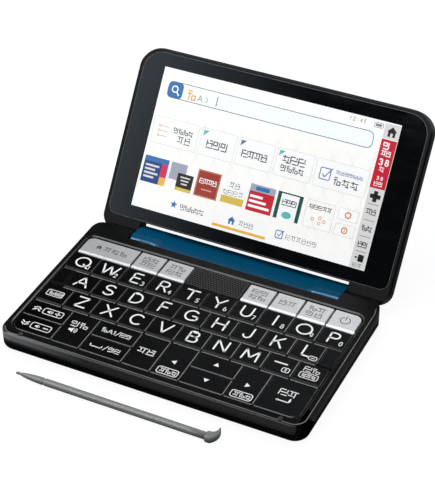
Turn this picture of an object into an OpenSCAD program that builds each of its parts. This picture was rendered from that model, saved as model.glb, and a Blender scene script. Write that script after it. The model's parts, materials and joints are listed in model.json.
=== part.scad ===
// Pocket electronic dictionary: a keyboard base, a touch screen lid that folds right round on
// a two-axis hinge link, and a stylus that lies beside it.
// Millimetres. X runs right, Y runs back, Z runs up. The origin lies on the ground under the
// middle of the whole model's box. The modules draw in the base's own frame, whose Y starts at
// the base's front face, and placed() moves them to the origin.

/* [Base case] */
// Width of the base and of the lid
case_w = 152.4; // [138:0.1:168]
// Depth of the base, front face to the back of its hinge ears
case_d = 96; // [87:0.1:106]
// Thickness of the base without its pads
case_t = 10; // [9.8:0.1:12]
// Thickness of the side walls
case_wall = 1.5; // [1.2:0.05:1.8]
// Thickness of the bottom
case_floor = 1; // [0.8:0.05:1.1]
// Thickness of the keyboard deck
deck_t = 1.5; // [1.3:0.05:1.8]
// Plan radius of the front corners
front_corner_r = 7; // [7:0.1:11]
// Plan radius of the rear corners
rear_corner_r = 11.5; // [7:0.1:12]
// Rounding of the top edges
top_round = 1.2; // [0.5:0.05:1.2]
// Rounding of the bottom edges at the front and the sides
low_round = 2.5; // [2.5:0.1:4.8]

/* [Pads and stops] */
// Height of a pad under the base
pad_h = 0.5; // [0.3:0.05:0.6]
// Radius of a pad
pad_r = 3.5; // [2.5:0.1:4]
// Depth of the seats that pads and stops are glued into
pad_seat = 0.4; // [0.2:0.05:0.5]
// Middle of a pad, from the case's side
pad_side = 10.2; // [9.5:0.1:16]
// Front pads, from the front face
pad_front_y = 11; // [10:0.5:20]
// Rear pads, ahead of the hinge axis
pad_rear_y = 7; // [6:0.5:12]
// Height of a lid stop over the rim
stop_h = 0.6; // [0.3:0.05:0.6]
// Radius of a lid stop
stop_r = 1.1; // [0.8:0.05:1.3]
// Middle of a lid stop, from the case's side
stop_side = 11.7; // [11:0.1:20]
// Lid stops, from the front face
stop_y = 2.2; // [2.2:0.05:3]

/* [Keyboard] */
// Border between the keys and the case's sides
field_side = 4.1; // [3.9:0.05:6]
// Border between the keys and the case's front
field_front = 5.4; // [5.2:0.05:6]
// Border between the keys and the case's back
field_rear = 15.4; // [15.2:0.05:18]
// Share of the key field's depth that each of the two front rows takes
small_row_share = 0.1476; // [0.14:0.0002:0.16]
// Gap between keys
key_gap = 0.45; // [0.35:0.01:0.6]
// Gap between the keys and the deck
edge_gap = 0.3; // [0.3:0.01:0.5]
// Sideways offset of the keys from the middle
field_shift = -0.67; // [-1:0.01:0]
// Corner radius of the keys at the front
field_front_r = 5; // [3:0.1:6]
// Corner radius of the keys at the back
field_back_r = 3.8; // [2:0.1:5]
// Drop of the key tops below the rim
key_recess = 0.6; // [0.5:0.05:0.8]
// Thickness of a key cap
cap_t = 1.5; // [1.3:0.05:1.6]
// Bevel along the front and back of a key
key_bevel = 0.35; // [0.2:0.01:0.5]
// Travel of a key
key_travel = 0.9; // [0.7:0.05:1]
// Width of the square stem under a key
stem_w = 3; // [2.5:0.1:3.5]
// Clearance round a stem in its collar
stem_clear = 0.25; // [0.2:0.01:0.3]
// Wall of a collar
collar_wall = 0.6; // [0.5:0.05:0.8]
// Gap left under a pressed key
press_gap = 0.1; // [0.1:0.01:0.2]
// Width of the sunk border round the keys
tray_margin = 1; // [0.6:0.05:1.1]

/* [Speaker grille] */
// Radius of a grille hole
grille_hole_r = 0.4; // [0.3:0.05:0.5]
// Pitch of the grille holes
grille_pitch = 1.9; // [1.6:0.05:2.2]
// Holes across
grille_columns = 12; // [8:1:12]
// Rows of holes
grille_rows = 4; // [3:1:4]
// Width of the speaker
speaker_w = 22; // [16:0.5:24]
// Depth of the speaker
speaker_d = 9; // [7:0.5:10]

/* [Inside the base] */
// Thickness of the rubber sheet under the keys
sheet_t = 0.5; // [0.4:0.05:0.6]
// Thickness of the circuit board
board_t = 0.8; // [0.6:0.05:0.9]
// Height of the key collars over the sheet
collar_h = 1.3; // [1.2:0.05:1.4]
// Gap between the board and what stands beside it
board_gap = 0.25; // [0.2:0.05:0.4]
// Distance of the battery's edges from the board screws
battery_inset = 4.5; // [2:0.1:12]
// Thickness of the battery
battery_t = 3.1; // [2.6:0.05:3.1]
// Height of the chips under the board
chip_h = 1; // [0.7:0.05:1.2]

/* [Screws] */
// Radius of a screw's shank
screw_r = 0.8; // [0.6:0.05:0.9]
// Radius of a screw's head
screw_head_r = 1.5; // [1.3:0.05:1.6]
// Height of a screw's head
screw_head_h = 0.7; // [0.5:0.05:0.8]
// Length of a case screw
case_screw_len = 6.5; // [5.5:0.1:7]
// Length of a board screw
board_screw_len = 3.4; // [3:0.1:3.6]
// Outer case screws, from the case's side
case_screw_side = 16.7; // [16:0.1:17.5]
// Inner case screws, from the middle
case_screw_mid = 30; // [10:0.5:40]

/* [Hinge] */
// Width of a hinge ear
ear_w = 20.8; // [19:0.1:22]
// Gap between the closed lid and the base
closed_gap = 0.9; // [0.9:0.05:1.5]
// Radius of a hinge pin
pin_r = 1.5; // [1.2:0.05:1.6]
// Running clearance round a pin
pin_clear = 0.05; // [0.03:0.005:0.08]
// Depth of the pin bores in the ears and in the link
pin_bore = 10.5; // [8:0.1:11]
// Gap at the end of a pin
pin_end_gap = 0.3; // [0.2:0.05:0.5]
// Gap between the link and the base's front wall of the notch
link_front_gap = 0.55; // [0.4:0.05:0.8]
// Gap between the link's ends and the ears
link_end_gap = 0.3; // [0.3:0.05:0.5]
// Radius of the link at the base's axis
link_base_r = 4.3; // [4:0.05:4.4]
// Radius of the link at the lid's axis
link_lid_r = 2.7; // [2.5:0.05:3.2]
// Length of the link's raised end blocks
link_block = 12; // [11.6:0.1:16]
// Length of the slopes beside the blocks
link_slope = 5; // [3:0.1:8]
// Depth of the link's hollow at the base's axis
scoop_base = 1.4; // [0.8:0.05:1.6]
// Depth of the link's hollow at the lid's axis
scoop_lid = 0.6; // [0.3:0.05:0.7]
// Swing of the link away from straight up
link_open = 92; // [60:1:120]
// Opening of the lid, from closed
lid_open = 125.3; // [95:0.1:150]

/* [Lid] */
// Thickness of the lid
lid_t = 7.8; // [7.4:0.1:9]
// Setback of the closed lid's top edge from the base's front face
lid_setback = 1.4; // [0:0.1:3]
// Plan radius of the lid's top corners
lid_top_r = 12; // [9:0.1:14]
// Plan radius of the lid's bottom corners
lid_low_r = 9.5; // [8:0.1:12]
// Rounding of the lid's back edges
lid_back_round = 2.5; // [1.5:0.1:3]
// Rounding of the lid's front edges
lid_front_round = 0.8; // [0.4:0.05:1]
// Thickness of the lid's back
lid_back_t = 1.2; // [1:0.05:1.8]
// Lower edge of the lid between the hinge feet, from the hinge axis
lid_notch = 4.3; // [4.1:0.05:4.5]
// Thickness of the cover glass
glass_t = 0.8; // [0.6:0.05:1]
// Width of the rim at the glass's sides
glass_side = 2.3; // [2:0.05:3]
// Width of the rim at the glass's top
glass_top = 2; // [1.6:0.05:3]
// Lower edge of the glass, from the hinge axis
glass_low = 5; // [4.9:0.05:5.2]
// Corner radius of the glass at the bottom
glass_low_r = 4; // [2:0.1:5]
// Gap round the glass
glass_gap = 0.1; // [0.05:0.01:0.2]
// Width of the ledge under the glass
glass_ledge = 2.4; // [1.5:0.1:3]
// Border of the lit screen at the lid's sides
screen_side = 14.4; // [12:0.1:20]
// Border of the lit screen at the lid's top
screen_top = 8.5; // [7.6:0.1:12]
// Sideways offset of the screen from the middle
screen_shift = -0.7; // [-1:0.05:0]
// Lower edge of the lit screen, from the hinge axis
screen_low = 11.2; // [10.6:0.1:11.6]
// Border of the display panel round the lit screen
panel_border = 2.4; // [1.5:0.1:2.6]
// Thickness of the display panel
panel_t = 2.4; // [1.8:0.1:3]

/* [Stylus] */
// Length of the stylus that stands out of its channel when stored
stylus_proud = 9.9; // [2:0.05:10]
// Radius of the stylus
stylus_r = 1.75; // [1.5:0.05:1.8]
// Radius of the nib
nib_r = 0.6; // [0.4:0.05:0.8]
// Length of the nib
nib_len = 1.8; // [1:0.1:3]
// Length of the pointed end, nib and cone
point_len = 5; // [4:0.1:8]
// Distance of the catch groove from the tip
groove_at = 14; // [11:0.5:20]
// Depth of the catch groove
groove_depth = 0.25; // [0.2:0.05:0.6]
// Length of the head
head_len = 5.2; // [4:0.1:7]
// Half width of the head
head_half = 2.15; // [1.9:0.05:2.5]
// Thickness of the head's finger blade
blade_t = 0.9; // [0.7:0.05:1.4]
// Curve radius of the finger blade
blade_r = 7.1; // [6:0.1:9]
// Sideways offset of the middle of the blade's curve
blade_mid = 2.9; // [2:0.1:4]
// Distance of the stylus in front of the base
stylus_front = 12.6; // [10:0.1:20]
// Middle of the stylus, to the left of the base's middle
stylus_left = 8.6; // [0:0.1:12]

/* [Stylus channel] */
// Clearance round the stylus in its channel
channel_clear = 0.3; // [0.2:0.05:0.35]
// Wall outside the channel
channel_wall = 0.85; // [0.7:0.05:1]
// Height of the channel's middle over the case's underside
channel_h = 3.7; // [3.5:0.05:3.8]
// Length of the open mouth at the front corner
mouth_len = 12.7; // [10:0.1:16]
// Front end of the channel's outer wall at its top, from the front face
mouth_top_y = 7.5; // [6.5:0.1:9]
// Front end of the channel's outer wall at its bottom
mouth_low_y = 14; // [10:0.1:16]
// Height of the lip left under the mouth, from the case's underside
mouth_lip = 1.9; // [1.7:0.05:3]
// Length of the channel's narrowing end
channel_cone = 4; // [3:0.1:6]
// Width of the slot over the mouth
mouth_slot_w = 2.4; // [1.8:0.1:2.6]

/* [Hidden] */
$fn = 64;
case_top = pad_h + case_t;
axis1_y = case_d - case_t / 2;
axis1_z = pad_h + case_t / 2;
axis_dist = case_t / 2 + closed_gap + lid_t / 2;
link_tilt = 90 - link_open;
axis2_y = axis1_y + axis_dist * cos(link_tilt);
axis2_z = axis1_z + axis_dist * sin(link_tilt);
lid_tilt = 180 - lid_open;
lid_len = axis1_y - lid_setback;
notch_half = case_w / 2 - ear_w;
notch_y = axis1_y - link_base_r - link_front_gap;
link_half = notch_half - link_end_gap;

key_top = case_top - key_recess;
cap_low = key_top - cap_t;
collar_top = cap_low - key_travel - press_gap;
board_top = collar_top - collar_h - sheet_t;
board_low = board_top - board_t;
stem_low = board_top + key_travel + press_gap;
floor_top = pad_h + case_floor;
key_pitch = (case_w - 2 * field_side) / 10;
field_x0 = unit_x(0);
field_x1 = unit_x(10);
field_back = case_d - field_rear;
small_row_d = small_row_share * (field_back - field_front);
letter_row_d = (field_back - field_front - 2 * small_row_d) / 4;
row_y = [for (i = [0:6]) field_front + min(i, 2) * small_row_d + max(i - 2, 0) * letter_row_d];

channel_r = stylus_r + channel_clear;
channel_x = case_w / 2 - channel_wall - channel_r;
channel_z = pad_h + channel_h;
channel_end = case_d - rear_corner_r / 2;
tube_r = channel_r + channel_wall;

board_x0 = field_x0 + board_gap;
board_x1 = min(field_x1, channel_x - tube_r) - board_gap;
board_y0 = field_front + board_gap;
board_y1 = field_back - board_gap;
grille_x0 = unit_x(4) + key_gap / 2;
grille_x1 = unit_x(6) - key_gap / 2;
seat_h = 1.3;
seat_wall = 0.8;
joint_lap = 0.4;
inner_round = 0.2;
end_flat = 0.1;
drill_play = 0.03;
glue_play = 0.05;
beyond = 1;
hook_x = [12, 40];
hook_w = 6;
hook_t = 0.9;
hook_bite = 0.6;
hook_play = 0.1;
hook_rise = 1.2;
hook_low = floor_top + hook_rise;
screw_play = 0.15;
screw_sink = 0.2;
screw_head_low = pad_h + screw_sink;
screw_head_top = screw_head_low + screw_head_h;
screw_seat_top = screw_head_top + seat_h;
hook_h = 1;
case_screw_y = (field_back + notch_y - case_wall) / 2;
speaker_inset = 2;
speaker_y = field_back - speaker_inset;

// Each chip on the board has its middle and its width.
CHIPS = [
    [board_x0 + 16.5, row_y[3], 12],
    [board_x1 - 15, row_y[2] - 1, 10],
    [board_x1 - 15, row_y[3] + 4, 11],
    [board_x1 - 15, row_y[5] - 4, 9]
];
board_screws = [for (u = [2, 8], row = [2, 5]) [unit_x(u), row_y[row]]];
case_screw_x = [case_w / 2 - case_screw_side, case_screw_mid];
pad_x = case_w / 2 - pad_side;
stop_x = case_w / 2 - stop_side;

glass_y1 = lid_len - glass_top;
screen_w = case_w - 2 * screen_side;
screen_h = lid_len - screen_low - screen_top;
glass_half = case_w / 2 - glass_side;
glass_top_r = lid_top_r - glass_side;

head_lap = 0.05;
nib_chamfer = 0.24;
point_r = 0.7 * stylus_r;
stylus_len = channel_end + stylus_proud;
stylus_y = -stylus_front;
stylus_z = stylus_r + head_lap;
front_reach = stylus_y - head_half;
back_reach = axis2_y + (lid_len - lid_back_round) * cos(lid_tilt)
    + (lid_t / 2 - lid_back_round) * sin(lid_tilt) + lid_back_round;
middle_y = (front_reach + back_reach) / 2;

// Each key has its name, its left and right edges in key pitches, and its first and last row.
KEYS = concat(
    [["page_down_key", 0, 1.5, 0, 0], ["page_up_key", 0, 1.5, 1, 1], ["voice_key", 1.5, 2.5, 0, 1]],
    [["space_key", 2.5, 4, 0, 0], ["character_key", 2.5, 4, 1, 1], ["back_key", 4, 5, 0, 1]],
    [["left_key", 5, 6, 0, 1], ["down_key", 6, 7.5, 0, 0], ["up_key", 6, 7.5, 1, 1]],
    [["right_key", 7.5, 8.5, 0, 1], ["enter_key", 8.5, 10, 0, 1]],
    [["shift_key", 0, 1, 2, 2]],
    [for (i = [0:6]) [str("letter_", "zxcvbnm"[i], "_key"), i + 1, i + 2, 2, 2]],
    [["dash_key", 8, 9, 2, 2], ["delete_key", 9, 10, 2, 2]],
    [for (i = [0:8]) [str("letter_", "asdfghjkl"[i], "_key"), i + 0.5, i + 1.5, 3, 3]],
    [for (i = [0:9]) [str("letter_", "qwertyuiop"[i], "_key"), i, i + 1, 4, 4]],
    [["home_key", 0, 2, 5, 5], ["function_1_key", 2, 3, 5, 5], ["function_2_key", 3, 4, 5, 5]],
    [["function_3_key", 6, 7, 5, 5], ["function_4_key", 7, 8, 5, 5], ["function_5_key", 8, 9, 5, 5]],
    [["power_key", 9, 10, 5, 5]]);

// Left edge of a key that starts a number of pitches from the left
function unit_x(u) = field_shift + (u - 5) * key_pitch;

function key_middle(k) = [(unit_x(k[1]) + unit_x(k[2])) / 2, (row_y[k[3]] + row_y[k[4] + 1]) / 2];

module placed() {
    translate([0, -middle_y, 0]) children();
}

module placed_link() {
    placed() translate([0, axis1_y, axis1_z]) rotate([link_tilt, 0, 0]) children();
}

module placed_lid() {
    placed() translate([0, axis2_y, axis2_z]) rotate([lid_tilt, 0, 0]) children();
}

// Rectangle between two corners, with a radius for each corner, anticlockwise from low x low y
module rounded_plate(x0, y0, x1, y1, r) {
    polygon([
        [x0 + r[0], y0], [x1 - r[1], y0], [x1 - r[1], y0 + r[1]], [x1, y0 + r[1]],
        [x1, y1 - r[2]], [x1 - r[2], y1 - r[2]], [x1 - r[2], y1], [x0 + r[3], y1],
        [x0 + r[3], y1 - r[3]], [x0, y1 - r[3]], [x0, y0 + r[0]], [x0 + r[0], y0 + r[0]]
    ]);
    translate([x0 + r[0], y0 + r[0]]) circle(r[0]);
    translate([x1 - r[1], y0 + r[1]]) circle(r[1]);
    translate([x1 - r[2], y1 - r[2]]) circle(r[2]);
    translate([x0 + r[3], y1 - r[3]]) circle(r[3]);
}

// A flat shape drawn in Y and Z, run along X
module run_x(x0, x1) {
    translate([x0, 0, 0]) rotate([90, 0, 90]) linear_extrude(x1 - x0) children();
}

// A flat shape drawn in X and Z, run along Y
module run_y(y0, y1) {
    translate([0, y1, 0]) rotate([90, 0, 0]) linear_extrude(y1 - y0) children();
}

// A flat shape drawn in X and Y, run along Z
module run_z(z0, z1) {
    translate([0, 0, z0]) linear_extrude(z1 - z0) children();
}

module rod_x(x0, x1, y, z, r) {
    translate([x0, y, z]) rotate([0, 90, 0]) cylinder(h = x1 - x0, r = r);
}

module rod_y(y0, y1, x, z, r) {
    translate([x, y0, z]) rotate([-90, 0, 0]) cylinder(h = y1 - y0, r = r);
}

module rod_z(z0, z1, x, y, r) {
    translate([x, y, z0]) cylinder(h = z1 - z0, r = r);
}

module block(x0, x1, y0, y1, z0, z1) {
    translate([x0, y0, z0]) cube([x1 - x0, y1 - y0, z1 - z0]);
}

// Outer form of the base, or its inside when walls are given
module case_form(wall, low, high, top_r) {
    z0 = pad_h + low;
    z1 = case_top - high;
    half = case_w / 2 - wall;
    low_r = low_round - wall;
    corner_r = front_corner_r - wall;
    rear_r = rear_corner_r - wall;
    ear_r = (z1 - z0 - end_flat) / 2;
    intersection() {
        run_z(z0, z1) rounded_plate(-half, wall, half, case_d - wall, [corner_r, corner_r, rear_r, rear_r]);
        run_x(-half, half) rounded_plate(wall, z0, case_d - wall, z1, [low_r, ear_r, ear_r, top_r]);
        run_y(wall, case_d) rounded_plate(-half, z0, half, z1, [low_r, low_r, top_r, top_r]);
        block(-half, half, front_corner_r, case_d, z0, z1);
    }
    run_x(corner_r - half, half - corner_r) intersection() {
        rounded_plate(wall, z0, case_d - wall, z1, [low_r, ear_r, ear_r, top_r]);
        translate([wall, z0]) square([corner_r, z1 - z0]);
    }
    for (side = [0, 1]) mirror([side, 0, 0]) translate([corner_r - half, front_corner_r, 0])
        case_corner(corner_r, z0, z1, low_r, top_r);
}

// Front left corner of the base, a quarter turn of its edge's section
module case_corner(r, z0, z1, low_r, top_r) {
    intersection() {
        rotate_extrude() intersection() {
            rounded_plate(-r, z0, r, z1, [low_r, low_r, top_r, top_r]);
            translate([0, z0]) square([r, z1 - z0]);
        }
        block(-r, 0, -r, 0, z0, z1);
    }
}

module case_solid() {
    difference() {
        case_form(0, 0, 0, top_round);
        block(-notch_half, notch_half, notch_y, case_d + 1, 0, case_top + 1);
    }
}

module case_inside() {
    difference() {
        case_form(case_wall, case_floor, deck_t, inner_round);
        block(-notch_half - case_wall, notch_half + case_wall, notch_y - case_wall, case_d, 0, case_top);
        rod_y(0, channel_end + case_wall, channel_x, channel_z, tube_r);
        for (side = [-1, 1]) ear_core(side);
    }
}

// Solid core of an ear, round the hinge pin
module ear_core(side) {
    x0 = notch_half - beyond;
    x1 = notch_half + pin_bore + case_wall;
    translate([side > 0 ? x0 : -x1, axis1_y - pin_r - case_wall, 0]) cube([x1 - x0, case_d, case_top]);
}

// What the stylus channel takes out of the case
module channel_cuts() {
    rod_y(-beyond, channel_end - channel_cone, channel_x, channel_z, channel_r);
    translate([channel_x, channel_end - channel_cone, channel_z]) rotate([-90, 0, 0])
        cylinder(h = channel_cone, r1 = channel_r, r2 = nib_r + channel_clear);
    block(channel_x - mouth_slot_w / 2, channel_x + mouth_slot_w / 2, -beyond, mouth_len, channel_z,
        case_top + beyond);
    run_x(channel_x + mouth_slot_w / 4, case_w) polygon([
        [-beyond, pad_h + mouth_lip], [mouth_low_y, pad_h + mouth_lip],
        [mouth_top_y, case_top], [mouth_top_y, case_top + beyond], [-beyond, case_top + beyond]]);
}

module base_pin_bores() {
    for (side = [-1, 1]) {
        x0 = notch_half - beyond;
        x1 = notch_half + pin_bore;
        rod_x(side > 0 ? x0 : -x1, side > 0 ? x1 : -x0, axis1_y, axis1_z, pin_r + pin_clear);
    }
}

module base_shell() {
    difference() {
        case_solid();
        case_inside();
        channel_cuts();
        base_pin_bores();
    }
}

// Hooks of the deck that catch in the front wall of the bottom, or their pockets when play is given
module front_hooks(play) {
    for (x = hook_x, side = [-1, 1]) {
        x0 = side * x - hook_w / 2 - play;
        y0 = case_wall + hook_play;
        block(x0, x0 + hook_w + 2 * play, y0 - hook_bite - play, y0 + hook_t, hook_low - play,
            hook_low + hook_h + play);
    }
}

module bottom_case() {
    color([0.05, 0.05, 0.055]) placed() difference() {
        union() {
            intersection() {
                base_shell();
                block(-case_w, case_w, -beyond, case_d + beyond, 0, axis1_z);
            }
            for (x = case_screw_x, side = [-1, 1])
                rod_z(floor_top - joint_lap, screw_seat_top, side * x, case_screw_y,
                    screw_head_r + seat_wall);
            for (p = board_screws) rod_z(floor_top - joint_lap, board_low, p.x, p.y, screw_r + seat_wall);
        }
        for (x = case_screw_x, side = [-1, 1]) {
            rod_z(0, screw_head_top, side * x, case_screw_y, screw_head_r + screw_play);
            rod_z(0, case_t, side * x, case_screw_y, screw_r + screw_play);
        }
        for (p = board_screws) rod_z(floor_top, case_t, p.x, p.y, screw_r + drill_play);
        for (p = pad_places()) rod_z(0, pad_h + pad_seat, p.x, p.y, pad_r + glue_play);
        front_hooks(hook_play);
    }
}

function pad_places() = [for (side = [-1, 1], y = [pad_front_y, axis1_y - pad_rear_y]) [side * pad_x, y]];

module key_field(extra) {
    rounded_plate(field_x0 - extra, field_front - extra, field_x1 + extra, field_back + extra, [
        field_front_r + extra, field_front_r + extra, field_back_r + extra, field_back_r + extra]);
}

// Fixed blanks at the ends of the middle letter row, and the speaker grille between the keys
module deck_blanks() {
    low = row_y[3] + key_gap / 2;
    high = row_y[4] - key_gap / 2;
    reach = edge_gap + joint_lap;
    block(field_x0 - reach, unit_x(0.5) - key_gap / 2, low, high, cap_low, key_top);
    block(unit_x(9.5) + key_gap / 2, field_x1 + reach, low, high, cap_low, key_top);
    block(grille_x0, grille_x1, row_y[5] + key_gap / 2, field_back + reach, cap_low, key_top);
}

module grille_holes() {
    middle = [(grille_x0 + grille_x1) / 2, (row_y[5] + field_back) / 2];
    for (i = [0:grille_columns - 1], j = [0:grille_rows - 1]) {
        x = (i - (grille_columns - 1) / 2 + (j % 2) * 0.5 - 0.25) * grille_pitch;
        y = (j - (grille_rows - 1) / 2) * grille_pitch;
        rod_z(cap_low - beyond, key_top + beyond, middle.x + x, middle.y + y, grille_hole_r);
    }
}

module keyboard_deck() {
    color([0.10, 0.10, 0.11]) placed() difference() {
        union() {
            difference() {
                intersection() {
                    base_shell();
                    block(-case_w, case_w, -beyond, case_d + beyond, axis1_z, case_top + beyond);
                }
                run_z(case_top - deck_t - beyond, case_top + beyond) key_field(edge_gap);
                run_z(key_top, case_top + beyond) key_field(tray_margin);
            }
            deck_blanks();
            for (x = case_screw_x, side = [-1, 1])
                rod_z(screw_seat_top, case_top - deck_t + joint_lap, side * x, case_screw_y,
                    screw_r + seat_wall);
            front_hooks(0);
            for (x = hook_x, side = [-1, 1])
                block(side * x - hook_w / 2, side * x + hook_w / 2, case_wall + hook_play,
                    case_wall + hook_play + hook_t, hook_low, case_top - deck_t + joint_lap);
        }
        for (x = case_screw_x, side = [-1, 1])
            rod_z(0, screw_head_top + case_screw_len + screw_play, side * x, case_screw_y,
                screw_r + drill_play);
        for (side = [-1, 1])
            rod_z(case_top - pad_seat, case_top + beyond, side * stop_x, stop_y, stop_r + glue_play);
        grille_holes();
    }
}

module circuit_board() {
    color([0.05, 0.30, 0.15]) placed() {
        difference() {
            block(board_x0, board_x1, board_y0, board_y1, board_low, board_top);
            for (p = board_screws) rod_z(0, case_top, p.x, p.y, screw_r + screw_play);
        }
        for (c = CHIPS)
            translate([c[0], c[1], board_low - chip_h / 2]) cube([c[2], c[2], chip_h], center = true);
        block(field_shift - speaker_w / 2, field_shift + speaker_w / 2, speaker_y - speaker_d, speaker_y,
            board_top, cap_low - glue_play);
    }
}

module key_rubber_sheet() {
    color([0.55, 0.56, 0.58]) placed() {
        run_z(board_top, board_top + sheet_t) difference() {
            translate([board_x0, board_y0]) square([board_x1 - board_x0, board_y1 - board_y0]);
            stem_squares(stem_w + 2 * stem_clear);
            for (p = board_screws) translate(p) circle(screw_head_r + board_gap);
            translate([field_shift - speaker_w / 2 - board_gap, speaker_y - speaker_d - board_gap])
                square([speaker_w + 2 * board_gap, speaker_d + 2 * board_gap]);
        }
        run_z(board_top + sheet_t, collar_top) difference() {
            stem_squares(stem_w + 2 * stem_clear + 2 * collar_wall);
            stem_squares(stem_w + 2 * stem_clear);
        }
    }
}

module stem_squares(w) {
    for (k = KEYS) translate(key_middle(k)) square(w, center = true);
}

module battery_pack() {
    color([0.75, 0.76, 0.78]) placed()
        block(unit_x(2) + battery_inset, unit_x(8) - battery_inset, row_y[2] + battery_inset,
            row_y[5] - battery_inset, floor_top, floor_top + battery_t);
}

module screws() {
    color([0.6, 0.6, 0.62]) placed() {
        for (x = case_screw_x, side = [-1, 1]) {
            rod_z(screw_head_low, screw_head_top, side * x, case_screw_y, screw_head_r);
            rod_z(screw_head_low, screw_head_top + case_screw_len, side * x, case_screw_y, screw_r);
        }
        for (p = board_screws) {
            rod_z(board_top, board_top + screw_head_h, p.x, p.y, screw_head_r);
            rod_z(board_top - board_screw_len, board_top + screw_head_h, p.x, p.y, screw_r);
        }
    }
}

module rubber_pads() {
    color([0.15, 0.15, 0.15]) placed() {
        for (p = pad_places()) rod_z(0, pad_h + pad_seat, p.x, p.y, pad_r);
        for (side = [-1, 1]) rod_z(case_top - pad_seat, case_top + stop_h, side * stop_x, stop_y, stop_r);
    }
}

// Bar round both hinge axes: two rounds of different radius and the taper between them
module link_section() {
    lean = acos((link_base_r - link_lid_r) / axis_dist);
    low = link_base_r * [cos(lean), sin(lean)];
    high = [axis_dist, 0] + link_lid_r * [cos(lean), sin(lean)];
    circle(link_base_r);
    translate([axis_dist, 0]) circle(link_lid_r);
    polygon([[low.x, -low.y], [high.x, -high.y], high, low]);
}

// Hollow along the middle of one face of the link, with sloping ends
module link_scoop() {
    drop = scoop_base - scoop_lid;
    fall = atan((link_base_r - link_lid_r - drop) / axis_dist);
    inner = link_half - link_block - link_slope;
    rise = link_base_r + beyond;
    outer = inner + link_slope * rise / scoop_base;
    translate([0, 0, link_base_r - scoop_base]) rotate([-fall, 0, 0])
        run_y(-axis_dist, 2 * axis_dist) polygon([[-outer, rise], [-inner, 0], [inner, 0], [outer, rise]]);
}

module hinge_link() {
    color([0.0, 0.24, 0.40]) placed_link() difference() {
        run_x(-link_half, link_half) link_section();
        for (face = [0, 1]) mirror([0, 0, face]) link_scoop();
        for (side = [-1, 1], y = [0, axis_dist]) {
            x0 = link_half - pin_bore;
            x1 = link_half + beyond;
            rod_x(side > 0 ? x0 : -x1, side > 0 ? x1 : -x0, y, 0, pin_r + pin_clear);
        }
    }
}

module hinge_pins() {
    x0 = link_half - pin_bore + pin_end_gap;
    x1 = notch_half + pin_bore - pin_end_gap;
    color([0.7, 0.7, 0.72]) placed_link()
        for (side = [-1, 1], y = [0, axis_dist])
            rod_x(side > 0 ? x0 : -x1, side > 0 ? x1 : -x0, y, 0, pin_r);
}

// Outer form of the lid, drawn with its hinge axis on X and its glass facing up
module lid_form() {
    half = case_w / 2;
    foot = lid_t / 2;
    intersection() {
        run_z(-foot, foot) rounded_plate(-half, -foot, half, lid_len, [
            lid_low_r, lid_low_r, lid_top_r, lid_top_r]);
        run_x(-half, half) rounded_plate(-foot, -foot, lid_len, foot, [
            foot - end_flat / 2, lid_back_round, lid_front_round, foot - end_flat / 2]);
        run_y(-foot, lid_len) rounded_plate(-half, -foot, half, foot, [lid_back_round, lid_back_round,
            lid_front_round, lid_front_round]);
    }
}

module glass_outline(extra) {
    rounded_plate(-glass_half - extra, glass_low - extra, glass_half + extra, glass_y1 + extra, [
        glass_low_r + extra, glass_low_r + extra, glass_top_r + extra, glass_top_r + extra]);
}

module lid_shell() {
    front = lid_t / 2;
    color([0.04, 0.04, 0.045]) placed_lid() difference() {
        lid_form();
        block(-notch_half, notch_half, -lid_t, lid_notch, -lid_t, lid_t);
        run_z(front - glass_t, front + beyond) glass_outline(glass_gap);
        run_z(-front + lid_back_t, front) glass_outline(-glass_ledge);
        for (side = [-1, 1]) {
            x0 = notch_half - beyond;
            x1 = notch_half + pin_bore;
            rod_x(side > 0 ? x0 : -x1, side > 0 ? x1 : -x0, 0, 0, pin_r + pin_clear);
        }
    }
}

module touch_glass() {
    color([0.02, 0.02, 0.03]) placed_lid() run_z(lid_t / 2 - glass_t, lid_t / 2) glass_outline(0);
}

module display_panel() {
    x0 = screen_shift - screen_w / 2 - panel_border;
    y0 = screen_low - panel_border;
    high = lid_t / 2 - glass_t;
    color([0.9, 0.92, 0.95]) placed_lid()
        block(x0, x0 + screen_w + 2 * panel_border, y0, y0 + screen_h + 2 * panel_border,
            high - panel_t, high);
}

// One key: a cap with bevelled edges, and the stem that its collar guides
module key_cap(k) {
    x0 = unit_x(k[1]) + key_gap / 2;
    x1 = unit_x(k[2]) - key_gap / 2;
    y0 = row_y[k[3]] + key_gap / 2;
    y1 = row_y[k[4] + 1] - key_gap / 2;
    silver = k[3] == 5;
    color(silver ? [0.78, 0.79, 0.80] : [0.07, 0.07, 0.075]) placed() {
        intersection() {
            run_x(x0, x1) polygon([[y0, cap_low], [y1, cap_low], [y1, key_top - key_bevel],
                [y1 - key_bevel, key_top], [y0 + key_bevel, key_top], [y0, key_top - key_bevel]]);
            run_z(cap_low - beyond, key_top + beyond) key_field(-key_gap / 2);
        }
        translate([0, 0, stem_low]) linear_extrude(cap_low - stem_low)
            translate(key_middle(k)) square(stem_w, center = true);
    }
}

// Outline of the stylus's head, seen from above, with the end of the stylus at x = 0
module head_outline() {
    intersection() {
        translate([-blade_r, blade_mid]) circle(blade_r);
        union() {
            translate([-head_len, -head_half]) square([head_len, 2 * head_half]);
            translate([-blade_t, 0]) square([blade_t, blade_mid + blade_r]);
        }
    }
}

module stylus() {
    tip = -stylus_left - stylus_len / 2;
    shaft = stylus_len - head_len + head_half;
    neck = stylus_r - groove_depth;
    color([0.55, 0.56, 0.57]) placed() translate([tip, stylus_y, stylus_z]) {
        rotate([0, 90, 0]) rotate_extrude() polygon([
            [0, 0], [nib_r - nib_chamfer, 0], [nib_r, nib_chamfer], [nib_r, nib_len], [point_r, point_len],
            [stylus_r, groove_at], [neck, groove_at + groove_depth], [neck, groove_at + 3 * groove_depth],
            [stylus_r, groove_at + 4 * groove_depth], [stylus_r, shaft], [0, shaft]
        ]);
        translate([stylus_len, 0, -stylus_z]) linear_extrude(2 * stylus_z) head_outline();
    }
}

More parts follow.
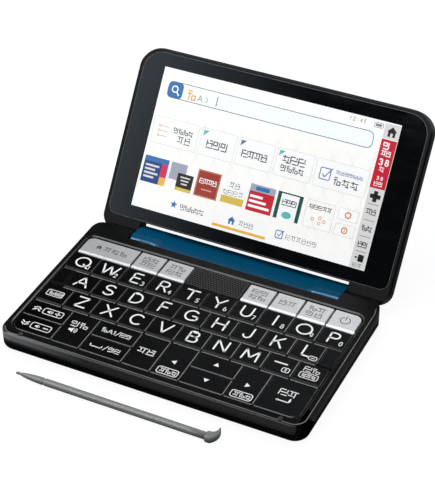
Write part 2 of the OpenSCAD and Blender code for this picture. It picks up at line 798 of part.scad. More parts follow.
bottom_case();
keyboard_deck();
circuit_board();
key_rubber_sheet();
battery_pack();
screws();
rubber_pads();
hinge_link();
hinge_pins();
lid_shell();
touch_glass();
display_panel();
stylus();
for (k = KEYS) key_cap(k);
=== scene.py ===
import json
import math

import bmesh
import bpy
from mathutils import Matrix, Vector

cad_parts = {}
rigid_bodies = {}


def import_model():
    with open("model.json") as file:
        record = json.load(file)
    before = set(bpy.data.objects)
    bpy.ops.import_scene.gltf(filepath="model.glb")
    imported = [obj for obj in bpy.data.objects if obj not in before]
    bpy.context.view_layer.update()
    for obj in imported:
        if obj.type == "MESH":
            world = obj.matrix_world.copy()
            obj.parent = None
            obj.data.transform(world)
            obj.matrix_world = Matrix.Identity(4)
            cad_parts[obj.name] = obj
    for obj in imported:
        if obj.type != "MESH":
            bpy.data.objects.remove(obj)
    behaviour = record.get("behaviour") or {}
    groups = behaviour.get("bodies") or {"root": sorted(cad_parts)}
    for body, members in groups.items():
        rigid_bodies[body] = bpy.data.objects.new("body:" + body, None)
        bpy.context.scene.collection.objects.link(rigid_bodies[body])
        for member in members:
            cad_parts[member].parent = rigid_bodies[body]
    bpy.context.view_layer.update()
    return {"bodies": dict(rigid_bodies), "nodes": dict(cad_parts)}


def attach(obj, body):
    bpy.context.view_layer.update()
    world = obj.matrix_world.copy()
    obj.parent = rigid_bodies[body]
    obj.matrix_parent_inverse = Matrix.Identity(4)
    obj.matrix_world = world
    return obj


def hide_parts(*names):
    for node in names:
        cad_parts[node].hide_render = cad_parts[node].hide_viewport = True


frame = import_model()

# Sizes in millimetres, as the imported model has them. The base's own frame has Y 0 at its front face.
MM = 0.001
CASE_W = 152.4
RIM_TOP = 10.5
MIDDLE_Y = 70.00901
PITCH = 14.42
FIELD_SHIFT = -0.67
FIELD_FRONT, FIELD_BACK = 5.4, 80.6
LOW_ROW = 11.0995
HIGH_ROW = (FIELD_BACK - FIELD_FRONT - 2 * LOW_ROW) / 4
ROW_Y = [FIELD_FRONT, FIELD_FRONT + LOW_ROW] + [FIELD_BACK - i * HIGH_ROW for i in (4, 3, 2, 1, 0)]
KEY_GAP = 0.45
HALF_GAP = KEY_GAP / 2
EDGE_GAP = 0.3
TRAY_MARGIN = 1.0
KEY_TOP = 9.9
CAP_LOW = 8.4
FRONT_R = 5.0
BACK_R = 3.8
FRONT_CORNER_R = 7.0
LID_AXIS_Y = 100.79403
LID_AXIS_Z = 5.15798
LID_TILT = math.radians(54.7)
GLASS_FRONT = 3.9
SCREEN_LEFT = -62.5
SCREEN_TOP = 81.1
SCREEN_W = 123.6
SCREEN_H = 69.9

# Places in metres between which finishes change
FRONT_FACE = -MIDDLE_Y * MM
SIDE_FACE = CASE_W / 2 * MM
# Across the keys, painted light fades from darker at the left to lighter at the right
KEYS_LEFT, KEYS_RIGHT = -0.07, 0.07
# Across the link, painted light fades from lighter at the left to darker at the right
LINK_LEFT, LINK_RIGHT = -0.055, 0.055
# Between these, the painted highlight on the deck's front wall fades from bright at the left to dim
HIGHLIGHT_WALL_LEFT, HIGHLIGHT_WALL_RIGHT = -0.074, -0.030

# Noise scales, the depth of fine grain in metres, and the picture grid in radians to a metre
CLOUDS = 60.0
SMEARS = 240.0
FINE_GRAIN = 9000.0
GRAIN_DEPTH = 0.00001
PICTURE_GRID = 43000.0

BASE = Matrix.Translation((0, -MIDDLE_Y * MM, 0)) @ Matrix.Scale(MM, 4)
LID = (Matrix.Translation((0, (LID_AXIS_Y - MIDDLE_Y) * MM, LID_AXIS_Z * MM))
       @ Matrix.Rotation(LID_TILT, 4, "X") @ Matrix.Scale(MM, 4))


def unit_x(u):
    """Where a key column starts, counted in key pitches from the left."""
    return FIELD_SHIFT + (u - 5) * PITCH


# Shader wiring


class Wire:
    """One output of a shader node. Arithmetic on it adds Math nodes."""

    def __init__(self, finish, socket):
        self.finish = finish
        self.socket = socket

    def math(self, operation, *others):
        return self.finish.math(operation, self, *others)

    def __add__(self, other):
        return self.math("ADD", other)

    def __mul__(self, other):
        return self.math("MULTIPLY", other)

    def __rsub__(self, other):
        return self.finish.math("SUBTRACT", other, self)

    __radd__ = __add__
    __rmul__ = __mul__


def scaled(colour, factor):
    """A colour made darker or lighter, at most white."""
    return tuple(min(1.0, c * factor) for c in colour)


class Finish:
    """A node material, or the world, under construction."""

    def __init__(self, name, world=False):
        self.block = bpy.data.worlds.new(name) if world else bpy.data.materials.new(name)
        self.block.use_nodes = True
        self.tree = self.block.node_tree
        self.tree.nodes.clear()
        self.out = self.tree.nodes.new("ShaderNodeOutputWorld" if world else "ShaderNodeOutputMaterial")

    def add(self, kind, settings=None, values=None, out=0):
        """Makes a node: first its settings, then the values or links of its sockets."""
        node = self.tree.nodes.new(kind)
        for key, value in (settings or {}).items():
            setattr(node, key, value)
        for key, value in (values or {}).items():
            socket = node.inputs[key]
            if isinstance(value, Wire):
                self.tree.links.new(value.socket, socket)
            elif socket.type == "RGBA" and len(value) == 3:
                socket.default_value = (*value, 1)
            else:
                socket.default_value = value
        return Wire(self, node.outputs[out])

    def math(self, operation, *values):
        return self.add("ShaderNodeMath", {"operation": operation}, dict(enumerate(values)))

    def ray(self, kind):
        return self.add("ShaderNodeLightPath", out=kind)

    def place(self):
        return self.add("ShaderNodeTexCoord", out="Object")

    def part(self, axis):
        return self.add("ShaderNodeSeparateXYZ", None, {"Vector": self.place()}, out=axis)

    def inner(self, weight):
        """A weight that falls to nothing on the outer side walls of the case and the lid."""
        from_middle = self.part("X").math("ABSOLUTE")
        return self.ramp(from_middle, weight, 0.0, SIDE_FACE - 1.2 * MM, SIDE_FACE - 0.6 * MM)

    def noise(self, scale, detail=3.0, stretch=None):
        spot = self.place()
        if stretch:
            spot = self.add("ShaderNodeMapping", None, {"Vector": spot, "Scale": stretch})
        return self.add("ShaderNodeTexNoise", None, {"Vector": spot, "Scale": scale, "Detail": detail})

    def ramp(self, value, low, high, start=0.3, end=0.7):
        return self.add("ShaderNodeMapRange", None,
                        {"Value": value, "From Min": start, "From Max": end, "To Min": low, "To Max": high})

    def blend(self, amount, first, second):
        return self.add("ShaderNodeMix", {"data_type": "RGBA"}, {0: amount, 6: first, 7: second}, out=2)

    def clouded(self, cloud, colour, vary, lift=0.0):
        """A colour that varies by a share from cloud to cloud, round a lifted or lowered middle."""
        dark, light = scaled(colour, 1 - vary + lift), scaled(colour, 1 + vary + lift)
        return self.blend(self.ramp(cloud, 0.0, 1.0), dark, light)

    def bump(self, height, strength, distance):
        return self.add("ShaderNodeBump", None,
                        {"Height": height, "Strength": strength, "Distance": distance})

    def smears(self, low, high):
        """Roughness that varies softly, as handled plastic does."""
        return self.ramp(self.noise(SMEARS, 5.0), low, high)

    def surface(self, **values):
        """Ends the material in a Principled shader, whose sockets are named with underscores."""
        names = {name.replace("_", " "): value for name, value in values.items()}
        return self.close(self.add("ShaderNodeBsdfPrincipled", None, names))

    def close(self, shader):
        self.tree.links.new(shader.socket, self.out.inputs["Surface"])
        return self.block


# Finishes


def moulded(name, colour, rough, grain=FINE_GRAIN, grain_depth=GRAIN_DEPTH, vary=0.25, level=0.5, painted_light_drift=0.0,
            coat=0.0):
    """Moulded plastic: fine erosion grain, faint cloudy gloss, and painted light that can make it darker at
    the left and lighter at the right.

    A coat lies on all but the outer side walls, which are left dull.
    """
    f = Finish(name)
    grain_height = f.noise(grain, 2.0)
    cloud = f.noise(CLOUDS, 4.0)
    tone = f.ramp(cloud, 1 - vary, 1 + vary)
    # Painted light: the colour is lowered at the left and lifted at the right, between KEYS_LEFT and
    # KEYS_RIGHT
    if painted_light_drift:
        left, right = f.clouded(cloud, colour, vary, -painted_light_drift), f.clouded(cloud, colour, vary, painted_light_drift)
        base = f.blend(f.ramp(f.part("X"), 0.0, 1.0, KEYS_LEFT, KEYS_RIGHT), left, right)
    else:
        base = f.clouded(cloud, colour, vary)
    values = {"Coat_Weight": f.inner(coat)} if coat else {}
    return f.surface(Base_Color=base, Roughness=f.smears(rough - 0.05, rough + 0.06),
                     Specular_IOR_Level=level, Coat_Roughness=rough,
                     Normal=f.bump(grain_height + tone * 0.1, 0.35, grain_depth), **values)


def deck_plastic(name, colour, front, corner, rough):
    """The deck's charcoal plastic, with a band of painted highlight on its front wall and round the left
    corner, brightest at the left.
    """
    f = Finish(name)
    grain_height = f.noise(FINE_GRAIN, 2.0)
    cloud = f.noise(CLOUDS, 4.0)
    deep, across, height = f.part("Y"), f.part("X"), f.part("Z")
    low_edge = f.ramp(height, 0.0, 1.0, 6.6 * MM, 7.4 * MM)
    at_front = f.ramp(deep, 1.0, 0.0, FRONT_FACE + 0.9 * MM, FRONT_FACE + 1.4 * MM)
    corner_start = FRONT_FACE - SIDE_FACE + 4 * MM
    round_corner = f.ramp(across + deep, 1.0, 0.0, corner_start, corner_start + MM)
    # Painted highlight: a pale band on the upper front wall, bright at the left corner and dim towards the
    # right
    wall = f.blend(f.ramp(across, 1.0, 0.0, HIGHLIGHT_WALL_LEFT, HIGHLIGHT_WALL_RIGHT), front, corner)
    pale = at_front.math("MAXIMUM", round_corner) * low_edge
    return f.surface(Base_Color=f.blend(pale, f.clouded(cloud, colour, 0.25), wall), Coat_Weight=f.inner(0.3),
                     Coat_Roughness=rough, Roughness=f.smears(rough - 0.05, rough + 0.06),
                     Specular_IOR_Level=0.02, Normal=f.bump(grain_height, 0.35, GRAIN_DEPTH))


def silver_paint(name, colour, rough, left_painted_shade=0.73, right_painted_light=1.11):
    """Satin silver paint with fine flakes in it, with painted light that makes it darker at the left and
    paler towards the right.
    """
    f = Finish(name)
    flakes = f.add("ShaderNodeTexVoronoi", None, {"Vector": f.place(), "Scale": 3200.0}, out="Color")
    spark = f.add("ShaderNodeSeparateColor", None, {"Color": flakes}, out="Red")
    dark, light = scaled(colour, 0.93), scaled(colour, 1.06)
    left = f.blend(spark, scaled(dark, left_painted_shade), scaled(light, left_painted_shade))
    right = f.blend(spark, scaled(dark, right_painted_light), scaled(light, right_painted_light))
    return f.surface(Base_Color=f.blend(f.ramp(f.part("X"), 0.0, 1.0, KEYS_LEFT, KEYS_RIGHT), left, right),
                     Metallic=0.25, Roughness=f.ramp(spark, rough - 0.07, rough + 0.07, 0.0, 1.0),
                     Normal=f.bump(f.noise(5200.0, 2.0), 0.3, 0.000008))


def turned_metal(name, colour, rough):
    """Turned steel with fine rings of tool marks and light stains."""
    f = Finish(name)
    rings = f.noise(900.0, 4.0, (1.0, 1.0, 14.0))
    stain = f.ramp(f.noise(150.0, 4.0), 0.0, 1.0)
    return f.surface(Base_Color=f.blend(stain, scaled(colour, 0.8), colour), Metallic=1.0,
                     Roughness=f.ramp(rings, rough - 0.08, rough + 0.1),
                     Normal=f.bump(rings, 0.3, GRAIN_DEPTH))


def teal_gloss(name, left, right, flow_mark):
    """Glossy teal moulding, with painted light that makes it lighter and bluer towards the left hand end, and
    faint flow marks.
    """
    f = Finish(name)
    # Painted light: lighter and bluer at the left hand end, darker at the right
    deep = f.blend(f.ramp(f.part("X"), 0.0, 1.0, LINK_LEFT, LINK_RIGHT), left, right)
    flow = f.ramp(f.noise(45.0, 3.0, (1.0, 4.0, 4.0)), 0.0, 0.22)
    return f.surface(Base_Color=f.blend(flow, deep, flow_mark),
                     Roughness=f.ramp(f.noise(300.0, 4.0), 0.26, 0.36),
                     Specular_IOR_Level=0.05, Coat_Weight=0.15, Coat_Roughness=0.1,
                     Normal=f.bump(f.noise(2500.0, 2.0), 0.15, GRAIN_DEPTH))


def cover_glass(name, clean, wiped):
    """Black bordered glass with very faint wiping marks."""
    f = Finish(name)
    wipe = f.noise(70.0, 5.0, (1.0, 3.0, 3.0))
    return f.surface(Base_Color=f.blend(f.ramp(wipe, 0.0, 1.0), clean, wiped),
                     Roughness=f.ramp(wipe, 0.03, 0.09), IOR=1.5, Specular_Tint=(0.72, 0.85, 1.0),
                     Normal=f.bump(f.noise(25.0, 2.0), 0.05, 0.00002))


def lit_ink(name, colour, glow=0.2):
    """One colour of the lit screen, with a fine picture grid in it."""
    f = Finish(name)
    column = f.part("X") * PICTURE_GRID
    grid = f.ramp(column.math("SINE"), 0.0, 1.0, -1.0, 1.0)
    tint = f.blend(grid, scaled(colour, 0.965), colour)
    return f.surface(Base_Color=tint, Emission_Color=tint, Emission_Strength=glow,
                     Roughness=f.ramp(f.noise(90.0, 4.0), 0.12, 0.2), Coat_Weight=0.0)


def stylus_plastic(name, top, under):
    """Grey moulding of the stylus, with painted shade that darkens its lower half."""
    f = Finish(name)
    # Painted shade: the under colour low down, the top colour higher up
    tone = f.ramp(f.part("Z"), 0.0, 1.0, 1.2 * MM, 3.1 * MM)
    return f.surface(Base_Color=f.blend(tone, under, top), Roughness=f.smears(0.31, 0.42),
                     Normal=f.bump(f.noise(8000.0, 2.0), 0.35, GRAIN_DEPTH))


def printed(name, colour, rough=0.5):
    """Printed mark: thin ink with slightly uneven cover."""
    f = Finish(name)
    cover = f.noise(2600.0, 3.0)
    return f.surface(Base_Color=f.blend(f.ramp(cover, 0.0, 1.0), scaled(colour, 0.86), colour),
                     Roughness=f.ramp(cover, rough - 0.08, rough + 0.08))


FINISHES = {
    "case_black": moulded("satin_black_case", (0.0036, 0.0039, 0.0046), 0.36, level=0.01, coat=0.2),
    "low_black": moulded("matt_black_underside", (0.0014, 0.0015, 0.0016), 0.60, 5000.0, level=0.02),
    # The deck's last two colours are a painted highlight band on its front wall, dim and bright
    "deck_black": deck_plastic("satin_charcoal_deck", (0.0048, 0.0051, 0.0054), (0.016, 0.0165, 0.017),
                               (0.16, 0.162, 0.166), 0.32),
    # The tray bevel is paler than the deck as painted highlight, besides its own gloss
    "tray_band": moulded("tray_bevel", (0.016, 0.0165, 0.017), 0.28, level=0.45),
    # A light grey painted highlight for the line along the case's top edge
    "edge_line": moulded("painted_edge_highlight", (0.17, 0.173, 0.18), 0.3, level=0.3),
    # A grey painted highlight for the ring round the glass edge
    "glass_line": moulded("glass_rim_painted_highlight", (0.085, 0.087, 0.09), 0.25, level=0.5),
    # The black keys carry painted light: darker at the left, lighter at the right
    "key_black": moulded("matt_black_key", (0.0040, 0.0043, 0.0047), 0.48, 7000.0, level=0.06, painted_light_drift=0.7),
    # The sloped fronts and the edge chamfers of the black keys are painted lighter, as painted highlight
    "key_slope": moulded("key_front_slope", (0.007, 0.0074, 0.0078), 0.42, 7000.0, level=0.2),
    "key_edge": moulded("key_edge_gloss", (0.022, 0.0227, 0.0235), 0.25, 7000.0),
    # The silver keys carry painted light: darker at the left, paler at the right
    "key_silver": silver_paint("silver_key", (0.60, 0.61, 0.63), 0.42),
    # The silver keys' sloped fronts are painted paler, as painted highlight
    "key_silver_edge": silver_paint("silver_key_edge", (0.82, 0.83, 0.85), 0.35),
    "key_silver_side": silver_paint("silver_key_side", (0.10, 0.102, 0.105), 0.45),
    "mark_white": printed("white_print", (0.86, 0.87, 0.87)),
    "mark_dark": printed("dark_print", (0.055, 0.058, 0.065)),
    "grille": moulded("speaker_plate", (0.028, 0.029, 0.030), 0.5, 6000.0, level=0.3),
    "grille_dark": moulded("speaker_gauze", (0.001, 0.001, 0.001), 0.8, level=0.05),
    # The link's two teals are painted light: the left one lighter, the right one darker
    "link_teal": teal_gloss("teal_link", (0.0005, 0.058, 0.135), (0.0005, 0.052, 0.108), (0.002, 0.05, 0.10)),
    # A light blue painted highlight for the front edges of the link's end blocks
    "ridge_highlight_blue": moulded("painted_link_ridge_highlight", (0.085, 0.27, 0.50), 0.35, level=0.2),
    "steel": turned_metal("turned_steel", (0.55, 0.55, 0.56), 0.32),
    "rubber": moulded("pad_rubber", (0.022, 0.022, 0.023), 0.75, 3000.0, 0.00003),
    "sheet": moulded("silicone_sheet", (0.06, 0.062, 0.065), 0.7, 3000.0, 0.00002),
    "board": moulded("solder_mask", (0.01, 0.09, 0.035), 0.35, 1500.0, 0.00002),
    "foil": turned_metal("battery_foil", (0.6, 0.61, 0.62), 0.35),
    "glass": cover_glass("cover_glass", (0.0010, 0.0012, 0.0016), (0.002, 0.0024, 0.0030)),
    # The stylus's second colour is painted shade on its lower half
    "stylus": stylus_plastic("stylus_grey", (0.195, 0.20, 0.202), (0.026, 0.027, 0.029)),
}
SCREEN_INKS = {
    "paper": (0.95, 0.95, 0.94), "white": (0.92, 0.93, 0.94), "cream": (0.88, 0.86, 0.83),
    "line_grey": (0.58, 0.58, 0.58), "bar_grey": (0.66, 0.66, 0.66), "text_dark": (0.028, 0.028, 0.032),
    "text_grey": (0.20, 0.20, 0.21), "pill_line": (0.025, 0.085, 0.11), "pill_fill": (0.88, 0.94, 0.945),
    "sky_blue": (0.03, 0.15, 0.40), "deep_blue": (0.01, 0.05, 0.20), "teal": (0.12, 0.47, 0.47),
    "slate": (0.12, 0.19, 0.36), "orange": (0.78, 0.36, 0.05), "amber": (0.80, 0.44, 0.06),
    "rose": (0.62, 0.02, 0.11), "brick": (0.32, 0.04, 0.03), "red": (0.52, 0.015, 0.035),
    "black": (0.015, 0.014, 0.013), "gold": (0.65, 0.48, 0.08), "forest": (0.01, 0.08, 0.06),
    "steel_blue": (0.33, 0.37, 0.46), "salmon": (0.65, 0.33, 0.25), "copper": (0.55, 0.27, 0.12),
}
for ink_name, ink_colour in SCREEN_INKS.items():
    FINISHES[ink_name] = lit_ink("screen_" + ink_name, ink_colour)


# Mesh building


def put(name, mesh, body, replaced=()):
    """Makes a mesh a piece that rides on a body."""
    piece = bpy.data.objects.new(name, mesh)
    bpy.context.scene.collection.objects.link(piece)
    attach(piece, body)
    if replaced:
        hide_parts(*replaced)


class Shape:
    """Points and faces gathered in millimetres, made into one mesh at the end."""

    def __init__(self):
        self.points = []
        self.faces = []
        self.kinds = []

    def ring(self, points):
        start = len(self.points)
        self.points.extend(points)
        return list(range(start, len(self.points)))

    def face(self, ids, finish, smooth=False):
        self.faces.append(ids)
        self.kinds.append((finish, smooth))

    def bridge(self, low, high, finish, smooth=False):
        count = len(low)
        for i in range(count):
            j = (i + 1) % count
            self.face([low[i], low[j], high[j], high[i]], finish, smooth)

    def loft(self, rings, finish, smooth=False):
        """A closed solid through rings of as many points each, with flat ends."""
        for low, high in zip(rings, rings[1:]):
            self.bridge(low, high, finish, smooth)
        self.face(rings[0][::-1], finish)
        self.face(rings[-1], finish)

    def plate(self, outline, low, high, finish):
        """Closed plate of an anticlockwise outline between two heights."""
        under = self.ring([(x, y, low) for x, y in outline])
        over = self.ring([(x, y, high) for x, y in outline])
        self.bridge(under, over, finish)
        self.face(over, finish)
        self.face(under[::-1], finish)

    def band(self, outer, inner, low, high, finish):
        """Closed ring plate between two outlines with as many points each."""
        rings = [self.ring([(x, y, z) for x, y in line]) for line, z in
                 ((outer, low), (outer, high), (inner, high), (inner, low))]
        for i in range(4):
            self.bridge(rings[i], rings[(i + 1) % 4], finish)

    def stroke(self, path, width, low, high, finish, closed=False):
        """A pen stroke with round ends, split where the path turns sharply."""
        if closed:
            self.band(offset_loop(path, width / 2), offset_loop(path, -width / 2), low, high, finish)
            return
        for run in smooth_runs(path):
            self.plate(ribbon(run, width / 2), low, high, finish)

    def make(self, name, place, body, replaced=()):
        """Turns the shape into a piece that rides on a body."""
        mesh = bpy.data.meshes.new(name)
        mesh.from_pydata([place @ Vector(p) for p in self.points], [], self.faces)
        finishes = list(dict.fromkeys(kind for kind, _ in self.kinds))
        for kind in finishes:
            mesh.materials.append(FINISHES[kind])
        for polygon, (kind, smooth) in zip(mesh.polygons, self.kinds):
            polygon.material_index = finishes.index(kind)
            polygon.use_smooth = smooth
        mesh.update()
        put(name, mesh, body, replaced)


def arc(cx, cy, rx, ry, start, end, count=10):
    """Points on an ellipse between two angles in degrees."""
    steps = [math.radians(start + (end - start) * i / count) for i in range(count + 1)]
    return [(cx + rx * math.cos(a), cy + ry * math.sin(a)) for a in steps]


def offset_loop(path, amount):
    """A closed anticlockwise path moved outwards."""
    result = []
    count = len(path)
    for i in range(count):
        before = Vector(path[i]) - Vector(path[i - 1])
        after = Vector(path[(i + 1) % count]) - Vector(path[i])
        n0 = Vector((before.y, -before.x)).normalized()
        n1 = Vector((after.y, -after.x)).normalized()
        middle = (n0 + n1).normalized()
        reach = amount / max(0.35, middle.dot(n0))
        result.append(tuple(Vector(path[i]) + middle * reach))
    return result


def smooth_runs(path):
    """Cuts a path into runs without sharp turns."""
    runs = [[path[0]]]
    for i in range(1, len(path)):
        runs[-1].append(path[i])
        if i < len(path) - 1:
            before = Vector(path[i]) - Vector(path[i - 1])
            after = Vector(path[i + 1]) - Vector(path[i])
            if before.angle(after, 0) > math.radians(50):
                runs.append([path[i]])
    return runs


def ribbon(path, half, end_steps=6):
    """Outline of a stroke along an open path, anticlockwise, with round ends."""
    points = [Vector(p) for p in path]
    right, left = [], []
    for i, p in enumerate(points):
        before = (p - points[i - 1]).normalized() if i else None
        after = (points[i + 1] - p).normalized() if i < len(points) - 1 else None
        way = ((before or after) + (after or before)).normalized()
        side = Vector((way.y, -way.x))
        reach = half / max(0.5, way.dot(after or before))
        right.append(p + side * reach)
        left.append(p - side * reach)
    start = (points[1] - points[0]).normalized()
    end = (points[-1] - points[-2]).normalized()
    end_way = math.degrees(math.atan2(end.y, end.x))
    start_way = math.degrees(math.atan2(start.y, start.x))
    outline = [tuple(p) for p in right[1:-1]]
    outline += arc(points[-1].x, points[-1].y, half, half, end_way - 90, end_way + 90, end_steps)
    outline += [tuple(p) for p in left[-2:0:-1]]
    outline += arc(points[0].x, points[0].y, half, half, start_way + 90, start_way + 270, end_steps)
    return outline


def rounded(x0, y0, x1, y1, radii, count=6):
    """Anticlockwise rounded rectangle: radii for low left, low right, high right, high left."""
    if not isinstance(radii, (tuple, list)):
        radii = (radii,) * 4
    limit = min(x1 - x0, y1 - y0) / 2
    a, b, c, d = (max(0.02, min(r, limit)) for r in radii)
    return (arc(x0 + a, y0 + a, a, a, 180, 270, count) + arc(x1 - b, y0 + b, b, b, 270, 360, count)
            + arc(x1 - c, y1 - c, c, c, 0, 90, count) + arc(x0 + d, y1 - d, d, d, 90, 180, count))


def square(x0, y0, x1, y1):
    """The corners of a rectangle, anticlockwise from the low left."""
    return [(x0, y0), (x1, y0), (x1, y1), (x0, y1)]


# Letters and made-up signs


def oval(cx, cy, rx, ry, count=16):
    """A closed oval pen path that starts at its top."""
    return arc(cx, cy, rx, ry, 90, 450, count)[:-1]


# Open pen strokes of capital letters and digits, in a box 1 wide and 1 high
GLYPHS = {
    "A": [[(0, 0), (0.5, 1), (1, 0)], [(0.17, 0.34), (0.83, 0.34)]],
    "B": [[(0.12, 0), (0.12, 1), (0.58, 1)] + arc(0.58, 0.77, 0.27, 0.23, 90, -90)
          + [(0.12, 0.54)], [(0.55, 0.54)] + arc(0.6, 0.27, 0.32, 0.27, 90, -90) + [(0.12, 0)]],
    "C": [arc(0.53, 0.5, 0.49, 0.5, 50, 310, 20)],
    "D": [[(0.08, 0), (0.08, 1), (0.42, 1)] + arc(0.42, 0.5, 0.5, 0.5, 90, -90, 16) + [(0.08, 0)]],
    "E": [[(0.88, 1), (0.14, 1), (0.14, 0), (0.88, 0)], [(0.14, 0.53), (0.8, 0.53)]],
    "F": [[(0.9, 1), (0.18, 1), (0.18, 0)], [(0.18, 0.5), (0.8, 0.5)]],
    "G": [arc(0.5, 0.5, 0.48, 0.5, 50, 300, 20) + [(0.96, 0.1), (0.96, 0.46), (0.58, 0.46)]],
    "H": [[(0.08, 0), (0.08, 1)], [(0.92, 0), (0.92, 1)], [(0.08, 0.52), (0.92, 0.52)]],
    "I": [[(0.5, 0), (0.5, 1)]],
    "J": [[(0.8, 1)] + arc(0.46, 0.32, 0.34, 0.32, 0, -165, 12)],
    "K": [[(0.13, 0), (0.13, 1)], [(0.86, 1), (0.13, 0.4)], [(0.42, 0.62), (0.9, 0)]],
    "L": [[(0.2, 1), (0.2, 0), (0.88, 0)]],
    "M": [[(0, 0), (0.06, 1), (0.5, 0.22), (0.94, 1), (1, 0)]],
    "N": [[(0.08, 0), (0.08, 1), (0.92, 0), (0.92, 1)]],
    "P": [[(0.14, 0), (0.14, 1), (0.56, 1)] + arc(0.58, 0.73, 0.32, 0.27, 90, -90) + [(0.14, 0.46)]],
    "Q": [[(0.62, 0.28), (1, -0.06)]],
    "R": [[(0.14, 0), (0.14, 1), (0.56, 1)] + arc(0.58, 0.74, 0.3, 0.26, 90, -90) + [(0.14, 0.48)],
          [(0.5, 0.48), (0.9, 0)]],
    "S": [arc(0.5, 0.75, 0.38, 0.25, 35, 270, 12) + arc(0.5, 0.25, 0.4, 0.25, 90, -150, 12)],
    "T": [[(0.04, 1), (0.96, 1)], [(0.5, 1), (0.5, 0)]],
    "U": [[(0.1, 1)] + arc(0.5, 0.38, 0.4, 0.38, 180, 360, 14) + [(0.9, 1)]],
    "V": [[(0.02, 1), (0.5, 0), (0.98, 1)]],
    "W": [[(-0.1, 1), (0.2, 0), (0.5, 0.95), (0.8, 0), (1.1, 1)]],
    "X": [[(0.06, 1), (0.94, 0)], [(0.94, 1), (0.06, 0)]],
    "Y": [[(0.04, 1), (0.5, 0.46), (0.96, 1)], [(0.5, 0.46), (0.5, 0)]],
    "Z": [[(0.08, 1), (0.92, 1), (0.08, 0), (0.92, 0)]],
    "1": [[(0.3, 0.8), (0.55, 1), (0.55, 0)]],
    "2": [arc(0.5, 0.7, 0.36, 0.3, 165, -30, 12) + [(0.14, 0), (0.88, 0)]],
    "3": [arc(0.45, 0.76, 0.34, 0.24, 145, -90, 12), arc(0.45, 0.27, 0.4, 0.27, 90, -145, 12)],
    "4": [[(0.66, 0), (0.66, 1), (0.1, 0.3), (0.92, 0.3)]],
    "5": [[(0.82, 1), (0.24, 1), (0.18, 0.56)] + arc(0.46, 0.32, 0.38, 0.32, 120, -145, 12)],
    "6": [arc(0.62, 0.36, 0.5, 0.6, 110, 180, 8)],
    "7": [[(0.12, 1), (0.86, 1), (0.4, 0)]],
    "9": [arc(0.38, 0.64, 0.5, 0.6, -70, 0, 8)],
    ":": [[(0.45, 0.25), (0.55, 0.25)], [(0.45, 0.7), (0.55, 0.7)]],
}
# Closed pen strokes of the characters that have them
LOOPS = {
    "O": [oval(0.5, 0.5, 0.5, 0.5, 26)], "Q": [oval(0.5, 0.5, 0.5, 0.5, 26)],
    "0": [oval(0.5, 0.5, 0.36, 0.5, 20)], "6": [oval(0.5, 0.3, 0.36, 0.3)],
    "8": [oval(0.5, 0.76, 0.3, 0.24), oval(0.5, 0.26, 0.38, 0.26)], "9": [oval(0.5, 0.7, 0.36, 0.3)],
}
# Made-up signs of a few straight strokes, which stand for small words
SIGNS = [
    [(0, 1, 0.55, 1), (0.55, 1, 0.55, 0.5), (0.55, 0.5, 0, 0.5), (0, 0.5, 0, 1), (0.85, 1, 0.85, 0),
     (0.85, 0, 0.1, 0)],
    [(0.1, 1, 0.1, 0.25), (0.9, 0.75, 0.9, 0.25), (0.1, 0.62, 0.9, 0.62), (0, 0, 1, 0), (0.5, 1, 0.9, 1)],
    [(0, 1, 1, 1), (0.3, 1, 0.3, 0.5), (0.75, 1, 0.75, 0), (0, 0.22, 0.5, 0.22)],
    [(0, 1, 0, 0), (0, 1, 0.6, 1), (0, 0.5, 1, 0.5), (0.35, 0, 1, 0), (0.9, 1, 0.9, 0.72)],
    [(0, 0.8, 1, 0.8), (0.25, 1, 0.25, 0.5), (0, 0.25, 0.55, 0.25), (0.82, 0.55, 0.82, 0), (0.55, 0, 1, 0)],
    [(0, 1, 0.45, 1), (0, 0.7, 0.45, 0.7), (0.2, 0.7, 0.2, 0), (0.55, 0.5, 1, 0.5), (1, 0.5, 1, 0),
     (1, 0, 0.55, 0), (0.55, 0, 0.55, 0.5)],
]


def write(shape, text, x, y, wide, tall, width, low, high, finish, step=None):
    """Writes characters left to right, the first one's box standing at x, y."""
    for i, letter in enumerate(text):
        left = x + i * (step or wide * 1.3)
        for paths, closed in ((GLYPHS, False), (LOOPS, True)):
            for path in paths.get(letter, []):
                fitted = [(left + px * wide, y + py * tall) for px, py in path]
                shape.stroke(fitted, width, low, high, finish, closed)


def signs(shape, x, y, size, picks, width, low, high, finish, step=1.2, stretch=1.0):
    """A row of made-up signs, each in a square of the given size, which can be stretched sideways."""
    wide = size * stretch
    for i, pick in enumerate(picks):
        left = x + i * size * step
        for x0, y0, x1, y1 in SIGNS[pick % len(SIGNS)]:
            path = [(left + x0 * wide, y + y0 * size), (left + x1 * wide, y + y1 * size)]
            shape.plate(ribbon(path, width / 2, 3), low, high, finish)


# Keys

BODY_OF = {name.removesuffix("_press") + "_key": name for name in frame["bodies"] if name.endswith("_press")}
SILVER = ("key_silver", "key_silver_edge", "key_silver_side")
BLACK = ("key_black", "key_slope", "key_edge")
SILVER_ROW = 5
FIRST_SLOPED_ROW = 2
KEY_SLOPE = 1.25
SLOPE_DROP = 0.5
CHAMFER = 0.3
KEY_CORNER_R = 0.55
# Keys that hold a corner of the field: which of their corners it is, and its radius
FIELD_CORNERS = {"page_down_key": (0, FRONT_R), "enter_key": (1, FRONT_R), "power_key": (2, BACK_R),
                 "home_key": (3, BACK_R)}

